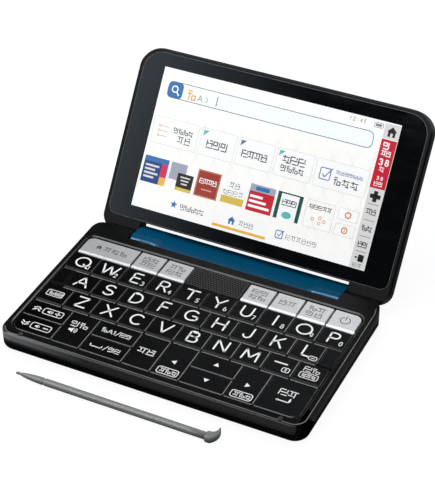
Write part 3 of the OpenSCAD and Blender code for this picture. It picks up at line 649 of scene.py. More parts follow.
# The printed marks
MARK_LOW = KEY_TOP - 0.02
MARK_HIGH = KEY_TOP + 0.03
WHITE = (MARK_LOW, MARK_HIGH, "mark_white")
DARK = (MARK_LOW, MARK_HIGH, "mark_dark")
LETTER_PEN = 0.86
LETTER_RAISE = 0.5
LETTER_TALL = 6.8
LETTER_WIDE = 6.4
LETTER_WIDTHS = {"M": 7.0, "W": 6.9, "O": 7.1, "Q": 7.1, "G": 6.6, "I": 6.0, "E": 5.5, "F": 5.5, "L": 5.3,
                 "J": 5.5, "B": 5.9, "P": 5.8, "R": 5.9, "S": 6.0, "T": 6.6}
TOP_LETTERS, TOP_DIGITS = "QWERTYUIOP", "1234567890"
BOX_R = 0.9
SPEAKER_BODY = [(-1, -0.35), (-0.45, -0.35), (0.1, -0.85), (0.1, 0.85), (-0.45, 0.35), (-1, 0.35)]
HOUSE = [(-0.36, -0.45), (-0.12, -0.45), (-0.12, -0.1), (0.12, -0.1), (0.12, -0.45), (0.36, -0.45),
         (0.36, 0.02), (0.5, 0.02), (0, 0.5), (-0.5, 0.02), (-0.36, 0.02)]
ARROW = [(-0.55, -0.8), (0.75, 0), (-0.55, 0.8)]


def key_rows():
    """Every key's name, its left and right column edge, and its first and last row."""
    rows = [
        ("page_down_key", 0, 1.5, 0, 0), ("page_up_key", 0, 1.5, 1, 1), ("voice_key", 1.5, 2.5, 0, 1),
        ("space_key", 2.5, 4, 0, 0), ("character_key", 2.5, 4, 1, 1), ("back_key", 4, 5, 0, 1),
        ("left_key", 5, 6, 0, 1), ("down_key", 6, 7.5, 0, 0), ("up_key", 6, 7.5, 1, 1),
        ("right_key", 7.5, 8.5, 0, 1), ("enter_key", 8.5, 10, 0, 1), ("shift_key", 0, 1, 2, 2)]
    rows += [("letter_%s_key" % c, i + 1, i + 2, 2, 2) for i, c in enumerate("zxcvbnm")]
    rows += [("dash_key", 8, 9, 2, 2), ("delete_key", 9, 10, 2, 2)]
    rows += [("letter_%s_key" % c, i + 0.5, i + 1.5, 3, 3) for i, c in enumerate("asdfghjkl")]
    rows += [("letter_%s_key" % c, i, i + 1, 4, 4) for i, c in enumerate("qwertyuiop")]
    rows += [("home_key", 0, 2, 5, 5), ("function_1_key", 2, 3, 5, 5), ("function_2_key", 3, 4, 5, 5),
             ("function_3_key", 6, 7, 5, 5), ("function_4_key", 7, 8, 5, 5), ("function_5_key", 8, 9, 5, 5),
             ("power_key", 9, 10, 5, 5)]
    return rows


def cap(shape, x0, x1, y0, y1, radii, low, top, front_slope, kinds):
    """A key cap with a rounded edge on three sides and, where it has one, a sloping front."""
    # The slope finish, and the edge finish of the black keys, are painted highlight on the chamfers and the
    # sloped front
    plain, slope, edge = kinds
    if front_slope:
        drop = top - SLOPE_DROP
        profile = [(low, 0.0, 0.0, edge), (drop - 0.16, 0.0, 0.0, edge), (drop + 0.06, 0.0, 0.24, slope),
                   (top - CHAMFER, 0.0, front_slope * 0.6, slope),
                   (top - 0.05, CHAMFER - 0.05, front_slope, slope),
                   (top, CHAMFER + 0.08, front_slope + 0.3, plain)]
    else:
        profile = [(low, 0.0, 0.0, edge), (top - CHAMFER, 0.0, 0.0, edge),
                   (top - 0.04, CHAMFER - 0.04, CHAMFER - 0.04, edge),
                   (top, CHAMFER + 0.06, CHAMFER + 0.06, plain)]
    rings = []
    for z, inset, front, _ in profile:
        line = rounded(x0 + inset, y0 + front, x1 - inset, y1 - inset, [max(0.1, r - inset) for r in radii])
        rings.append(shape.ring([(x, y, z) for x, y in line]))
    shape.face(rings[0][::-1], plain)
    shape.bridge(rings[0], rings[1], plain)
    for lower, upper, step in zip(rings[1:], rings[2:], profile[1:]):
        count = len(lower)
        for j in range(count):
            k = (j + 1) % count
            at_front = j < count * 0.4
            shape.face([lower[j], lower[k], upper[k], upper[j]], step[3] if at_front else edge)
    shape.face(rings[-1], plain)


def stamp(shape, outline, x, y, size, ink):
    """A flat mark from an outline round its middle."""
    shape.plate([(x + px * size, y + py * size) for px, py in outline], *ink)


def chevrons(shape, x, y, up, ink):
    """Two stacked angle marks that point up or down."""
    way = 1 if up else -1
    for shift in (-0.75, 0.75):
        foot, tip = y + shift - 0.55 * way, y + shift + 0.75 * way
        shape.stroke([(x - 1.7, foot), (x, tip), (x + 1.7, foot)], 0.62, *ink)


def speaker(shape, x, y, size, ink, waves=2):
    """A loudspeaker mark with waves to its right."""
    stamp(shape, SPEAKER_BODY, x, y, size, ink)
    for i in range(waves):
        r = size * (0.55 + 0.45 * i)
        shape.stroke(arc(x + size * 0.05, y, r, r, -48, 48, 6), size * 0.2, *ink)


def outline_box(shape, x0, y0, x1, y1, ink, pen=0.38, r=BOX_R):
    shape.stroke(rounded(x0, y0, x1, y1, r, 5), pen, *ink, closed=True)


def arrow(shape, x, y, angle, size, ink):
    """A solid triangle that points at an angle in degrees."""
    turn = Matrix.Rotation(math.radians(angle), 2)
    stamp(shape, [turn @ Vector(p) for p in ARROW], x, y, size, ink)


def letter_legend(shape, letter, x, y):
    """A large letter, on the top row with a small digit, on the L key with a small boxed dash."""
    wide = LETTER_WIDTHS.get(letter, LETTER_WIDE)
    foot = y + LETTER_RAISE - LETTER_TALL / 2
    write(shape, letter, x - wide / 2, foot, wide, LETTER_TALL, LETTER_PEN, *WHITE)
    if letter in TOP_LETTERS:
        write(shape, TOP_DIGITS[TOP_LETTERS.index(letter)], x + 3.5, y - 3.5, 1.8, 2.7, 0.40, *WHITE)
    if letter == "L":
        outline_box(shape, x + 2.3, y - 4.4, x + 6.0, y - 1.9, WHITE, 0.4, 0.8)
        shape.stroke([(x + 3.3, y - 3.15), (x + 5.0, y - 3.15)], 0.4, *WHITE)


def legend(shape, name, x, y, deep):
    """The printed marks of one key, drawn round the middle of its top."""
    if name.startswith("letter_"):
        letter_legend(shape, name[len("letter_")].upper(), x, y)
    elif name == "dash_key":
        shape.stroke([(x - 2.9, y + 1.4), (x + 2.9, y + 1.4)], 0.8, *WHITE)
        outline_box(shape, x + 2.0, y - 3.6, x + 5.4, y - 0.8, WHITE, 0.4, 0.8)
        write(shape, "2", x + 3.1, y - 2.9, 1.1, 1.5, 0.36, *WHITE)
    elif name == "delete_key":
        signs(shape, x - 3.7, y + 1.3, 2.8, (3, 5), 0.42, *WHITE, step=1.4, stretch=1.2)
        outline_box(shape, x - 4.3, y - 3.3, x + 4.3, y + 0.3, WHITE)
        signs(shape, x - 3.2, y - 2.5, 1.9, (4, 2, 4), 0.4, *WHITE)
    elif name == "shift_key":
        outline_box(shape, x - 4.3, y - 1.4, x + 4.1, y + 2.6, WHITE)
        signs(shape, x - 3.0, y - 0.5, 2.0, (5, 4, 3), 0.42, *WHITE)
    elif name in ("page_up_key", "page_down_key"):
        up = name == "page_up_key"
        chevrons(shape, x - 5.6, y, up, WHITE)
        outline_box(shape, x - 2.3, y - 2.0, x + 7.7, y + 2.0, WHITE, 0.42, 1.0)
        speaker(shape, x + 1.1, y, 1.35, WHITE, 2 if up else 1)
        shape.stroke([(x + 4.0, y), (x + 6.3, y)], 0.6, *WHITE)
        if up:
            shape.stroke([(x + 5.15, y - 1.15), (x + 5.15, y + 1.15)], 0.6, *WHITE)
    elif name == "voice_key":
        signs(shape, x - 4.3, y + 1.9, 3.2, (0, 5), 0.5, *WHITE, step=1.42, stretch=1.22)
        speaker(shape, x - 1.4, y - 0.8, 2.0, WHITE)
    elif name == "character_key":
        signs(shape, x - 7.4, y - 1.3, 2.5, (5,), 0.44, *WHITE)
        write(shape, "A", x - 4.3, y - 1.3, 2.3, 2.5, 0.44, *WHITE)
        write(shape, "1", x - 2.0, y - 1.3, 2.0, 2.5, 0.44, *WHITE)
        shape.stroke([(x + 0.1, y - 1.6), (x + 1.5, y + 1.5)], 0.4, *WHITE)
        signs(shape, x + 2.1, y - 1.3, 2.4, (3, 0), 0.4, *WHITE)
    elif name == "space_key":
        bar = [(x - 7.2, y + 0.3), (x - 7.2, y - 1.0), (x - 1.6, y - 1.0), (x - 1.6, y + 0.3)]
        shape.stroke(bar, 0.5, *WHITE)
        shape.stroke([(x - 0.4, y - 1.6), (x + 1.0, y + 1.5)], 0.4, *WHITE)
        signs(shape, x + 1.8, y - 1.3, 2.6, (0, 3), 0.42, *WHITE)
    elif name == "back_key":
        signs(shape, x - 4.1, y - 1.2, 3.2, (2, 1), 0.5, *WHITE, step=1.4, stretch=1.2)
    elif name in ("left_key", "right_key"):
        low = y - deep / 2 + 1.3
        arrow(shape, x, y - 0.6, 180 if name == "left_key" else 0, 1.7, WHITE)
        outline_box(shape, x - 4.8, low, x + 5.2, low + 4.2, WHITE, 0.42, 1.1)
        signs(shape, x - 3.5, low + 0.9, 2.35, (2, 5, 4), 0.4, *WHITE)
    elif name == "up_key":
        arrow(shape, x, y + 0.2, 90, 1.7, WHITE)
    elif name == "down_key":
        arrow(shape, x, y + 0.2, -90, 1.7, WHITE)
    elif name == "enter_key":
        signs(shape, x - 3.9, y + 0.6, 3.5, (3, 2), 0.5, *WHITE, step=1.26, stretch=1.08)
        shape.stroke([(x + 2.7, y - 0.8), (x + 2.7, y - 2.4)] + arc(x + 2.0, y - 2.4, 0.7, 0.7, 0, -90, 5)
                     + [(x - 2.6, y - 3.1)], 0.6, *WHITE)
        arrow(shape, x - 2.9, y - 3.1, 180, 0.95, WHITE)
    elif name == "home_key":
        stamp(shape, HOUSE, x - 6.0, y + 0.6, 3.1, DARK)
        signs(shape, x - 3.2, y - 1.0, 2.9, (2, 4, 5), 0.40, *DARK, step=1.5, stretch=1.2)
    elif name == "power_key":
        shape.stroke(arc(x, y + 0.6, 2.3, 2.3, 118, 422, 22), 0.42, *DARK)
        shape.stroke([(x, y + 0.9), (x, y + 3.4)], 0.42, *DARK)
    elif name == "function_4_key":
        signs(shape, x - 4.2, y - 0.9, 3.0, (1, 2), 0.38, *DARK, step=1.45, stretch=1.25)
    else:
        pick = int(name.split("_")[1])
        signs(shape, x - 4.2, y + 1.0, 2.7, (pick, pick + 3), 0.38, *DARK, step=1.6, stretch=1.35)
        signs(shape, x - 4.2, y - 2.9, 2.7, (pick + 1, pick + 2), 0.38, *DARK, step=1.6, stretch=1.35)


for key_name, u0, u1, row0, row1 in key_rows():
    x0, x1 = unit_x(u0) + HALF_GAP, unit_x(u1) - HALF_GAP
    y0, y1 = ROW_Y[row0] + HALF_GAP, ROW_Y[row1 + 1] - HALF_GAP
    corners = [KEY_CORNER_R] * 4
    if key_name in FIELD_CORNERS:
        which, radius = FIELD_CORNERS[key_name]
        corners[which] = radius - HALF_GAP
    kinds = SILVER if row0 == SILVER_ROW else BLACK
    slope = KEY_SLOPE if row0 >= FIRST_SLOPED_ROW else 0.0
    key = Shape()
    cap(key, x0, x1, y0, y1, corners, CAP_LOW, KEY_TOP, slope, kinds)
    legend(key, key_name, (x0 + x1) / 2, (y0 + y1) / 2, y1 - y0)
    key.make(key_name + "_cap", BASE, BODY_OF[key_name], (key_name,))

# What repeats, by Geometry Nodes

GRILLE_X0, GRILLE_X1 = unit_x(4) + HALF_GAP, unit_x(6) - HALF_GAP
GRILLE_Y0, GRILLE_Y1 = ROW_Y[5] + HALF_GAP, ROW_Y[6] - HALF_GAP
GRILLE_Z = KEY_TOP + 0.03
GRILLE_LIP = 0.12
# The distance of the grille's rows, as a share of its pitch
GRILLE_ROW_SHARE = 0.94
WELD = 0.002
# A screw head's cone at its foot and top, as shares of the head's radius
RIM_SLOPE = (1.3, 0.88)
ROUND_STEPS = 28
CUTTER_TALL = 2.0
CASE_SCREWS = [(x, 82.625, 1.4) for x in (-59.5, -30.0, 30.0, 59.5)]
BOARD_SCREWS = [(x, y, 5.6) for x in (unit_x(2), unit_x(8)) for y in (ROW_Y[2], ROW_Y[5])]


class Grower:
    """A Geometry Nodes tree with named inputs, run on a mesh of points."""

    def __init__(self, name, sizes):
        self.tree = bpy.data.node_groups.new(name, "GeometryNodeTree")
        self.sizes = sizes
        self.ids = {}
        face = self.tree.interface
        face.new_socket(name="Geometry", in_out="INPUT", socket_type="NodeSocketGeometry")
        for label, value in sizes.items():
            kind = {int: "NodeSocketInt", float: "NodeSocketFloat"}.get(type(value), "NodeSocketMaterial")
            self.ids[label] = face.new_socket(name=label, in_out="INPUT", socket_type=kind).identifier
        face.new_socket(name="Geometry", in_out="OUTPUT", socket_type="NodeSocketGeometry")
        self.inputs = self.tree.nodes.new("NodeGroupInput")
        self.output = self.tree.nodes.new("NodeGroupOutput")

    def size(self, label):
        return self.inputs.outputs[label]

    def add(self, kind, values=None, out=0, **settings):
        """Makes a node: first its settings, then the values or links of its sockets."""
        node = self.tree.nodes.new(kind)
        for key, value in settings.items():
            setattr(node, key, value)
        for key, value in (values or {}).items():
            for part in value if isinstance(value, list) else [value]:
                if isinstance(part, bpy.types.NodeSocket):
                    self.tree.links.new(part, node.inputs[key])
                else:
                    node.inputs[key].default_value = part
        return node.outputs[out]

    def math(self, operation, first, second=0.0):
        return self.add("ShaderNodeMath", {0: first, 1: second}, operation=operation)

    def vector(self, x=0.0, y=0.0, z=0.0):
        return self.add("ShaderNodeCombineXYZ", {"X": x, "Y": y, "Z": z})

    def raised(self, geometry, z):
        return self.add("GeometryNodeTransform", {"Geometry": geometry, "Translation": self.vector(z=z)})

    def boolean(self, operation, values):
        return self.add("GeometryNodeMeshBoolean", values, operation=operation, solver="EXACT")

    def finish(self, geometry):
        real = self.add("GeometryNodeRealizeInstances", {"Geometry": geometry})
        dressed = self.add("GeometryNodeSetMaterial", {"Geometry": real, "Material": self.size("Finish")})
        self.tree.links.new(dressed, self.output.inputs["Geometry"])

    def grow(self, points, place):
        """Runs the tree on points and gives back a plain mesh, put in its place."""
        seed = bpy.data.meshes.new(self.tree.name + "_points")
        seed.from_pydata(points, [], [])
        carrier = bpy.data.objects.new(self.tree.name + "_carrier", seed)
        bpy.context.scene.collection.objects.link(carrier)
        modifier = carrier.modifiers.new("grow", "NODES")
        modifier.node_group = self.tree
        for label, value in self.sizes.items():
            modifier[self.ids[label]] = value
        graph = bpy.context.evaluated_depsgraph_get()
        mesh = bpy.data.meshes.new_from_object(carrier.evaluated_get(graph))
        carrier.modifiers.remove(modifier)
        bpy.data.objects.remove(carrier)
        mesh.transform(place)
        return mesh


def join_meshes(name, meshes, finish):
    """One mesh with one finish out of several."""
    joined = bmesh.new()
    for mesh in meshes:
        joined.from_mesh(mesh)
    bmesh.ops.recalc_face_normals(joined, faces=joined.faces)
    result = bpy.data.meshes.new(name)
    joined.to_mesh(result)
    joined.free()
    result.materials.append(FINISHES[finish])
    for polygon in result.polygons:
        polygon.material_index = 0
    return result


def perforated_plate():
    """Staggered round holes in a thin rectangular plate."""
    g = Grower("perforated_plate", {
        "Width": GRILLE_X1 - GRILLE_X0, "Depth": GRILLE_Y1 - GRILLE_Y0, "Thickness": 0.14, "Hole radius": 0.5,
        "Pitch": 1.42, "Columns": 19, "Rows": 9, "Finish": FINISHES["grille"]})
    pitch, columns, rows = g.size("Pitch"), g.size("Columns"), g.size("Rows")
    sheet = g.add("GeometryNodeCurvePrimitiveQuadrilateral",
                  {"Width": g.size("Width"), "Height": g.size("Depth")}, mode="RECTANGLE")
    hole = g.add("GeometryNodeCurvePrimitiveCircle", {"Resolution": 8, "Radius": g.size("Hole radius")},
                 mode="RADIUS")
    row_pitch = g.math("MULTIPLY", pitch, GRILLE_ROW_SHARE)
    across = g.math("MULTIPLY", pitch, g.math("SUBTRACT", columns, 1.0))
    down = g.math("MULTIPLY", row_pitch, g.math("SUBTRACT", rows, 1.0))
    grid = g.add("GeometryNodeMeshGrid",
                 {"Size X": across, "Size Y": down, "Vertices X": columns, "Vertices Y": rows})
    spot_y = g.add("ShaderNodeSeparateXYZ", {0: g.add("GeometryNodeInputPosition")}, out=1)
    from_front = g.math("ADD", spot_y, g.math("MULTIPLY", down, 0.5))
    odd = g.math("MODULO", g.math("ROUND", g.math("DIVIDE", from_front, row_pitch)), 2.0)
    shift = g.math("MULTIPLY", g.math("SUBTRACT", odd, 0.5), g.math("MULTIPLY", pitch, 0.5))
    staggered = g.add("GeometryNodeSetPosition", {"Geometry": grid, "Offset": g.vector(shift)})
    holes = g.add("GeometryNodeInstanceOnPoints", {"Points": staggered, "Instance": hole})
    loops = g.add("GeometryNodeRealizeInstances", {"Geometry": holes})
    both = g.add("GeometryNodeJoinGeometry", {"Geometry": [sheet, loops]})
    filled = g.add("GeometryNodeFillCurve", {"Curve": both}, mode="TRIANGLES")
    raised = g.add("GeometryNodeExtrudeMesh",
                   {"Mesh": filled, "Offset": g.vector(z=1.0), "Offset Scale": g.size("Thickness"),
                    "Individual": False}, mode="FACES")
    under = g.add("GeometryNodeFlipFaces", {"Mesh": filled})
    shell = g.add("GeometryNodeJoinGeometry", {"Geometry": [raised, under]})
    g.finish(g.add("GeometryNodeMergeByDistance", {"Geometry": shell, "Distance": WELD}))
    middle = Matrix.Translation(((GRILLE_X0 + GRILLE_X1) / 2, (GRILLE_Y0 + GRILLE_Y1) / 2, GRILLE_Z))
    return g.grow([(0, 0, 0)], BASE @ middle)


def cross_screws(name, points, shank, turned_over):
    """Cheese head screws with a cross recess, one on each point."""
    g = Grower(name, {
        "Head radius": 1.5, "Head height": 0.7, "Shank radius": 0.8, "Shank length": shank,
        "Recess width": 0.42, "Recess length": 1.9, "Recess depth": 0.42, "Finish": FINISHES["steel"]})
    radius, tall = g.size("Head radius"), g.size("Head height")
    long, thin = g.size("Recess length"), g.size("Recess width")
    disc = g.add("GeometryNodeMeshCylinder", {"Vertices": ROUND_STEPS, "Radius": radius, "Depth": tall})
    disc = g.raised(disc, g.math("MULTIPLY", tall, 0.5))
    low_radius, high_radius = (g.math("MULTIPLY", radius, share) for share in RIM_SLOPE)
    rim = g.add("GeometryNodeMeshCone", {"Vertices": ROUND_STEPS, "Radius Bottom": low_radius,
                                         "Radius Top": high_radius, "Depth": tall})
    head = g.boolean("INTERSECT", {"Mesh 2": [disc, rim]})
    recess_floor = g.math("SUBTRACT", tall, g.size("Recess depth"))
    slots = []
    for wide, deep in ((long, thin), (thin, long)):
        bar = g.add("GeometryNodeMeshCube", {"Size": g.vector(wide, deep, CUTTER_TALL)})
        slots.append(g.raised(bar, g.math("ADD", recess_floor, CUTTER_TALL / 2)))
    head = g.boolean("DIFFERENCE", {"Mesh 1": head, "Mesh 2": slots})
    rod = g.add("GeometryNodeMeshCylinder", {"Vertices": 16, "Radius": g.size("Shank radius"),
                                             "Depth": g.size("Shank length")})
    rod = g.raised(rod, g.math("MULTIPLY", g.size("Shank length"), -0.5))
    screw = g.add("GeometryNodeJoinGeometry", {"Geometry": [head, rod]})
    if turned_over:
        screw = g.add("GeometryNodeTransform", {"Geometry": screw, "Rotation": (math.pi, 0.0, 0.0)})
    g.finish(g.add("GeometryNodeInstanceOnPoints", {"Points": g.size("Geometry"), "Instance": screw}))
    return g.grow(points, BASE)


grille_plate = join_meshes("speaker_grille_plate", [perforated_plate()], "grille")
put("speaker_grille_plate", grille_plate, "base")
backing = Shape()
backing.plate(rounded(GRILLE_X0, GRILLE_Y0, GRILLE_X1, GRILLE_Y1, 0.3), KEY_TOP - 0.1, GRILLE_Z + 0.01,
              "grille_dark")
# A lip of painted highlight along the grille's front edge
backing.plate(square(GRILLE_X0, GRILLE_Y0 - GRILLE_LIP, GRILLE_X1, GRILLE_Y0 + GRILLE_LIP), KEY_TOP - 0.5,
              GRILLE_Z + 0.15, "key_edge")
backing.make("speaker_backing", BASE, "base")
all_screws = [cross_screws("case_screws", CASE_SCREWS, 6.5, True),
              cross_screws("board_screws", BOARD_SCREWS, 3.4, False)]
put("cross_screws", join_meshes("cross_screws", all_screws, "steel"), "base", ("screws",))

# Deck details

FILLER_OVERLAP = 0.1
FILLERS = {"left": (unit_x(0) - FILLER_OVERLAP, unit_x(0.5) - HALF_GAP),
           "right": (unit_x(9.5) + HALF_GAP, unit_x(10) + FILLER_OVERLAP)}
LINE_HALF = 0.2
LINE_SINK = 0.05
LINE_RISE = 0.04
FLAT_INSET = 1.35
GLASS = (-73.9, 5.0, 73.9, 87.6)
GLASS_RADII = (4.0, 4.0, 9.7, 9.7)
# Paths of painted highlight along the front edges of the link's end blocks
RIDGES = {
    "left": [(-54.6, 88.62, 9.06), (-50.0, 88.80, 9.14), (-45.5, 88.92, 9.20), (-43.0, 88.75, 9.12),
             (-41.2, 88.35, 8.88)],
    "right": [(41.2, 88.35, 8.88), (43.0, 88.60, 9.05), (47.0, 88.75, 9.12), (51.0, 88.80, 9.15),
              (54.6, 88.80, 9.15)],
}
RIDGE_HALF = 0.38
RIDGE_OUT = (0, -0.53, 0.85)


def field_loop(extra, count=8):
    """The outline of the key field, moved outwards."""
    return rounded(unit_x(0) - extra, ROW_Y[0] - extra, unit_x(10) + extra, ROW_Y[6] + extra,
                   (FRONT_R + extra, FRONT_R + extra, BACK_R + extra, BACK_R + extra), count)


def edge_strip(name, path, place, body, finish="edge_line", half=LINE_HALF):
    """A thin closed strip of painted highlight along a path of points with their outward directions."""
    strip = Shape()
    points = [Vector(point) for point, _ in path]
    rings = []
    for i, (_, direction) in enumerate(path):
        out = Vector(direction).normalized()
        before, after = points[max(0, i - 1)], points[min(len(points) - 1, i + 1)]
        side = (after - before).normalized().cross(out).normalized() * half
        low, high = points[i] - out * LINE_SINK, points[i] + out * LINE_RISE
        rings.append(strip.ring([low - side, low + side, high + side, high - side]))
    strip.loft(rings, finish)
    strip.make(name, place, body)


def case_edge_path():
    """Where the flat top ends, from the front left corner over the front to the right rear, for a line of
    painted highlight.
    """
    half, r = CASE_W / 2, FRONT_CORNER_R - FLAT_INSET
    path = []
    for cx, start, end in ((-half + FRONT_CORNER_R, 205, 270), (half - FRONT_CORNER_R, 270, 360)):
        path += arc(cx, FRONT_CORNER_R, r, r, start, end, 12)
    path += [(half - FLAT_INSET, y) for y in (35.0, 60.0, 84.0)]
    path.append((half - FLAT_INSET - 0.8, 87.6))
    return [((x, y, RIM_TOP), (0, 0, 1)) for x, y in path]


def glass_loop(extra):
    """The outline of the glass, moved outwards."""
    x0, y0, x1, y1 = GLASS
    return rounded(x0 - extra, y0 - extra, x1 + extra, y1 + extra, [r + extra for r in GLASS_RADII], 8)


# The bevel band round the key field, painted paler as painted highlight
band = Shape()
loops = [(TRAY_MARGIN + 0.12, RIM_TOP - 0.2), (TRAY_MARGIN + 0.12, RIM_TOP + 0.01),
         (TRAY_MARGIN - 0.05, RIM_TOP), (EDGE_GAP + 0.12, KEY_TOP + 0.02), (EDGE_GAP, KEY_TOP - 0.15)]
rings = [band.ring([(x, y, z) for x, y in field_loop(extra)]) for extra, z in loops]
for lower, upper in zip(rings, rings[1:] + rings[:1]):
    band.bridge(lower, upper, "tray_band")
band.make("tray_bevel_band", BASE, "base")

for side, (x0, x1) in FILLERS.items():
    filler = Shape()
    cap(filler, x0, x1, ROW_Y[3] + HALF_GAP, ROW_Y[4] - HALF_GAP, [0.4] * 4, KEY_TOP - 0.6, KEY_TOP + 0.05,
        KEY_SLOPE, BLACK)
    filler.make("row_filler_" + side, BASE, "base")

# Painted highlight along the case's top edge
edge_strip("case_edge_highlight", case_edge_path(), BASE, "base")
# Strips of painted highlight on the link
for end, ridge in RIDGES.items():
    path = [(point, RIDGE_OUT) for point in ridge]
    edge_strip("link_ridge_" + end, path, BASE, "link", "ridge_highlight_blue", RIDGE_HALF)

# Painted highlight round the edge of the glass
glass_edge = Shape()
glass_edge.band(glass_loop(0.16), glass_loop(-0.02), GLASS_FRONT - 0.05, GLASS_FRONT + 0.01, "glass_line")
glass_edge.make("glass_edge_highlight", LID, "lid")

# The stylus

STYLUS_TIP = -58.675
STYLUS_END = 41.475
STYLUS_Y = -12.6
STYLUS_Z = 1.8
STYLUS_R = 1.75
STYLUS_STEPS = 24
# Radii of the turned shaft against the distance from its tip
SHAFT = [(0.0, 0.12), (0.08, 0.36), (0.35, 0.56), (0.9, 0.64), (1.6, 0.62), (2.0, 0.56), (2.5, 0.66),
         (4.0, 0.98), (6.5, 1.32), (9.5, 1.58), (12.5, 1.70), (13.9, 1.74), (14.1, 1.60), (14.3, 1.54),
         (14.8, 1.54), (15.0, 1.60), (15.3, STYLUS_R)]
SHAFT += [(20.0 + 6.0 * i, STYLUS_R) for i in range(12)] + [(94.9, STYLUS_R)]
# The head seen from above, measured from the stylus's end
HEAD = [(-5.35, -1.5), (-5.2, -1.95), (-4.7, -2.2), (-3.9, -2.3), (-3.0, -2.25), (-2.3, -1.98), (-1.6, -1.3),
        (-0.95, -0.35), (-0.45, 0.7), (-0.12, 1.8), (0.0, 2.9), (-0.1, 3.9), (-0.35, 4.9), (-0.75, 5.85),
        (-1.0, 6.25), (-1.2, 6.1), (-1.15, 5.5), (-1.3, 4.6), (-1.7, 3.6), (-2.3, 2.85), (-3.1, 2.4),
        (-4.0, 2.25), (-4.7, 2.15), (-5.2, 1.9), (-5.35, 1.5)]
# Heights of the head's rings, with how far each is drawn in
HEAD_RINGS = [(0.06, 0.34), (0.2, 0.16), (0.5, 0.04), (1.0, 0.0), (2.5, 0.0), (3.0, 0.05), (3.35, 0.18),
              (3.52, 0.36)]

# A turned shaft with a nib and a shallow catch groove, and a head with a finger horn
stylus = Shape()
turns = [math.tau * i / STYLUS_STEPS for i in range(STYLUS_STEPS)]
rings = []
for along, r in SHAFT:
    rings.append(stylus.ring([(STYLUS_TIP + along, STYLUS_Y + r * math.cos(t), STYLUS_Z + r * math.sin(t))
                              for t in turns]))
stylus.loft(rings, "stylus", True)
rings = []
for z, inset in HEAD_RINGS:
    rings.append(stylus.ring([(STYLUS_END + x, STYLUS_Y + y, z) for x, y in offset_loop(HEAD, -inset)]))
stylus.loft(rings, "stylus", True)
stylus.make("stylus_body", BASE, "stylus_loose", ("stylus",))

# The lit picture, in millimetres from its top left

picture = Shape()
LAYER = 0.012
BOLD = 1.18
TILE_TOP, TILE_FOOT = 24.0, 37.2
CARD_TOP, CARD_FOOT = 44.0, 57.0
TILES = [(1.5, 25.8, None), (27.2, 45.8, "teal"), (47.2, 66.0, "slate"), (67.5, 86.5, "teal"),
         (88.0, 114.4, None)]
SIX_POINTS = range(5, -1, -1)


def layer(level):
    """The heights of a layer of the picture: from inside the glass to a little above the layer below."""
    return GLASS_FRONT - 0.01, GLASS_FRONT + 0.02 + LAYER * level


def sx(x):
    return SCREEN_LEFT + x


def sy(y):
    return SCREEN_TOP - y


def panel(x0, y0, x1, y1, finish, level, r=0.0):
    """A block of colour between two corners."""
    corners = (sx(x0), sy(y1), sx(x1), sy(y0))
    picture.plate(rounded(*corners, r, 5) if r else square(*corners), *layer(level), finish)


def frame_line(x0, y0, x1, y1, finish, level, r=0.9, width=0.22):
    picture.stroke(rounded(sx(x0), sy(y1), sx(x1), sy(y0), r, 5), width, *layer(level), finish, closed=True)


def pen(path, width, finish, level, closed=False):
    """A pen stroke through points of the picture."""
    picture.stroke([(sx(x), sy(y)) for x, y in path], width, *layer(level), finish, closed)


def round_path(x, y, r, angles):
    """Points on a circle at angles in radians."""
    return [(x + r * math.cos(a), y + r * math.sin(a)) for a in angles]


def words(x0, x1, y, size, finish, level, width=0.3, first=0):
    """A line of made-up signs between two x places, its foot at y."""
    count = max(1, round((x1 - x0) / (size * 1.15)))
    step = (x1 - x0) / count / size
    picks = [first + i * 5 + i // 2 for i in range(count)]
    signs(picture, sx(x0), sy(y), size, picks, width * BOLD, *layer(level), finish, step)


def card(x0, x1, base, y0=CARD_TOP, y1=CARD_FOOT):
    panel(x0, y0, x1, y1, base, 2)


# The page, with faint wavy lines on it
panel(0, 0, SCREEN_W, SCREEN_H, "paper", 0)
for i in range(12):
    for lean in (-1, 1):
        cx = 8 + i * 9.6
        points = []
        for j in range(9):
            t = j / 8
            px = cx + lean * (t - 0.5) * 26 + 1.2 * math.sin(t * 12.6)
            points.append((sx(min(max(px, 0.5), 114.5)), sy(17 + t * 44)))
        kept = [points[0]]
        for p in points[1:]:
            if (Vector(p) - Vector(kept[-1])).length > 1.0:
                kept.append(p)
        picture.stroke(kept, 0.7, *layer(1), "cream")

# The clock, the battery mark and the search box
write(picture, "12:45", sx(98.0), sy(3.1), 1.15, 1.7, 0.26, *layer(2), "text_grey", 1.8)
frame_line(110.6, 1.3, 115.0, 3.6, "text_grey", 2, 0.8, 0.3)
panel(111.2, 1.85, 114.3, 3.05, "text_grey", 2, 0.3)
panel(4.2, 6.0, 111.8, 14.0, "pill_fill", 2, 2.6)
panel(4.2, 6.0, 12.3, 14.0, "sky_blue", 4, 2.0)
frame_line(4.3, 6.05, 111.8, 13.95, "pill_line", 3, 2.6, 0.32)
pen(round_path(8.0, 9.6, 1.5, [a / 3 for a in range(18, -1, -1)]), 0.62, "white", 6, True)
pen([(9.2, 10.8), (10.4, 12.2)], 0.7, "white", 6)
signs(picture, sx(15.2), sy(12.7), 4.2, (5,), 0.62, *layer(4), "orange")
write(picture, "A", sx(20.8), sy(12.5), 2.4, 2.9, 0.34, *layer(4), "text_grey")
pen([(24.8 + 1.1 * math.sin(t / 3), 9.6 + t * 0.32) for t in range(10)], 0.32, "text_grey", 4)
panel(30.7, 8.0, 31.2, 12.9, "text_grey", 4)

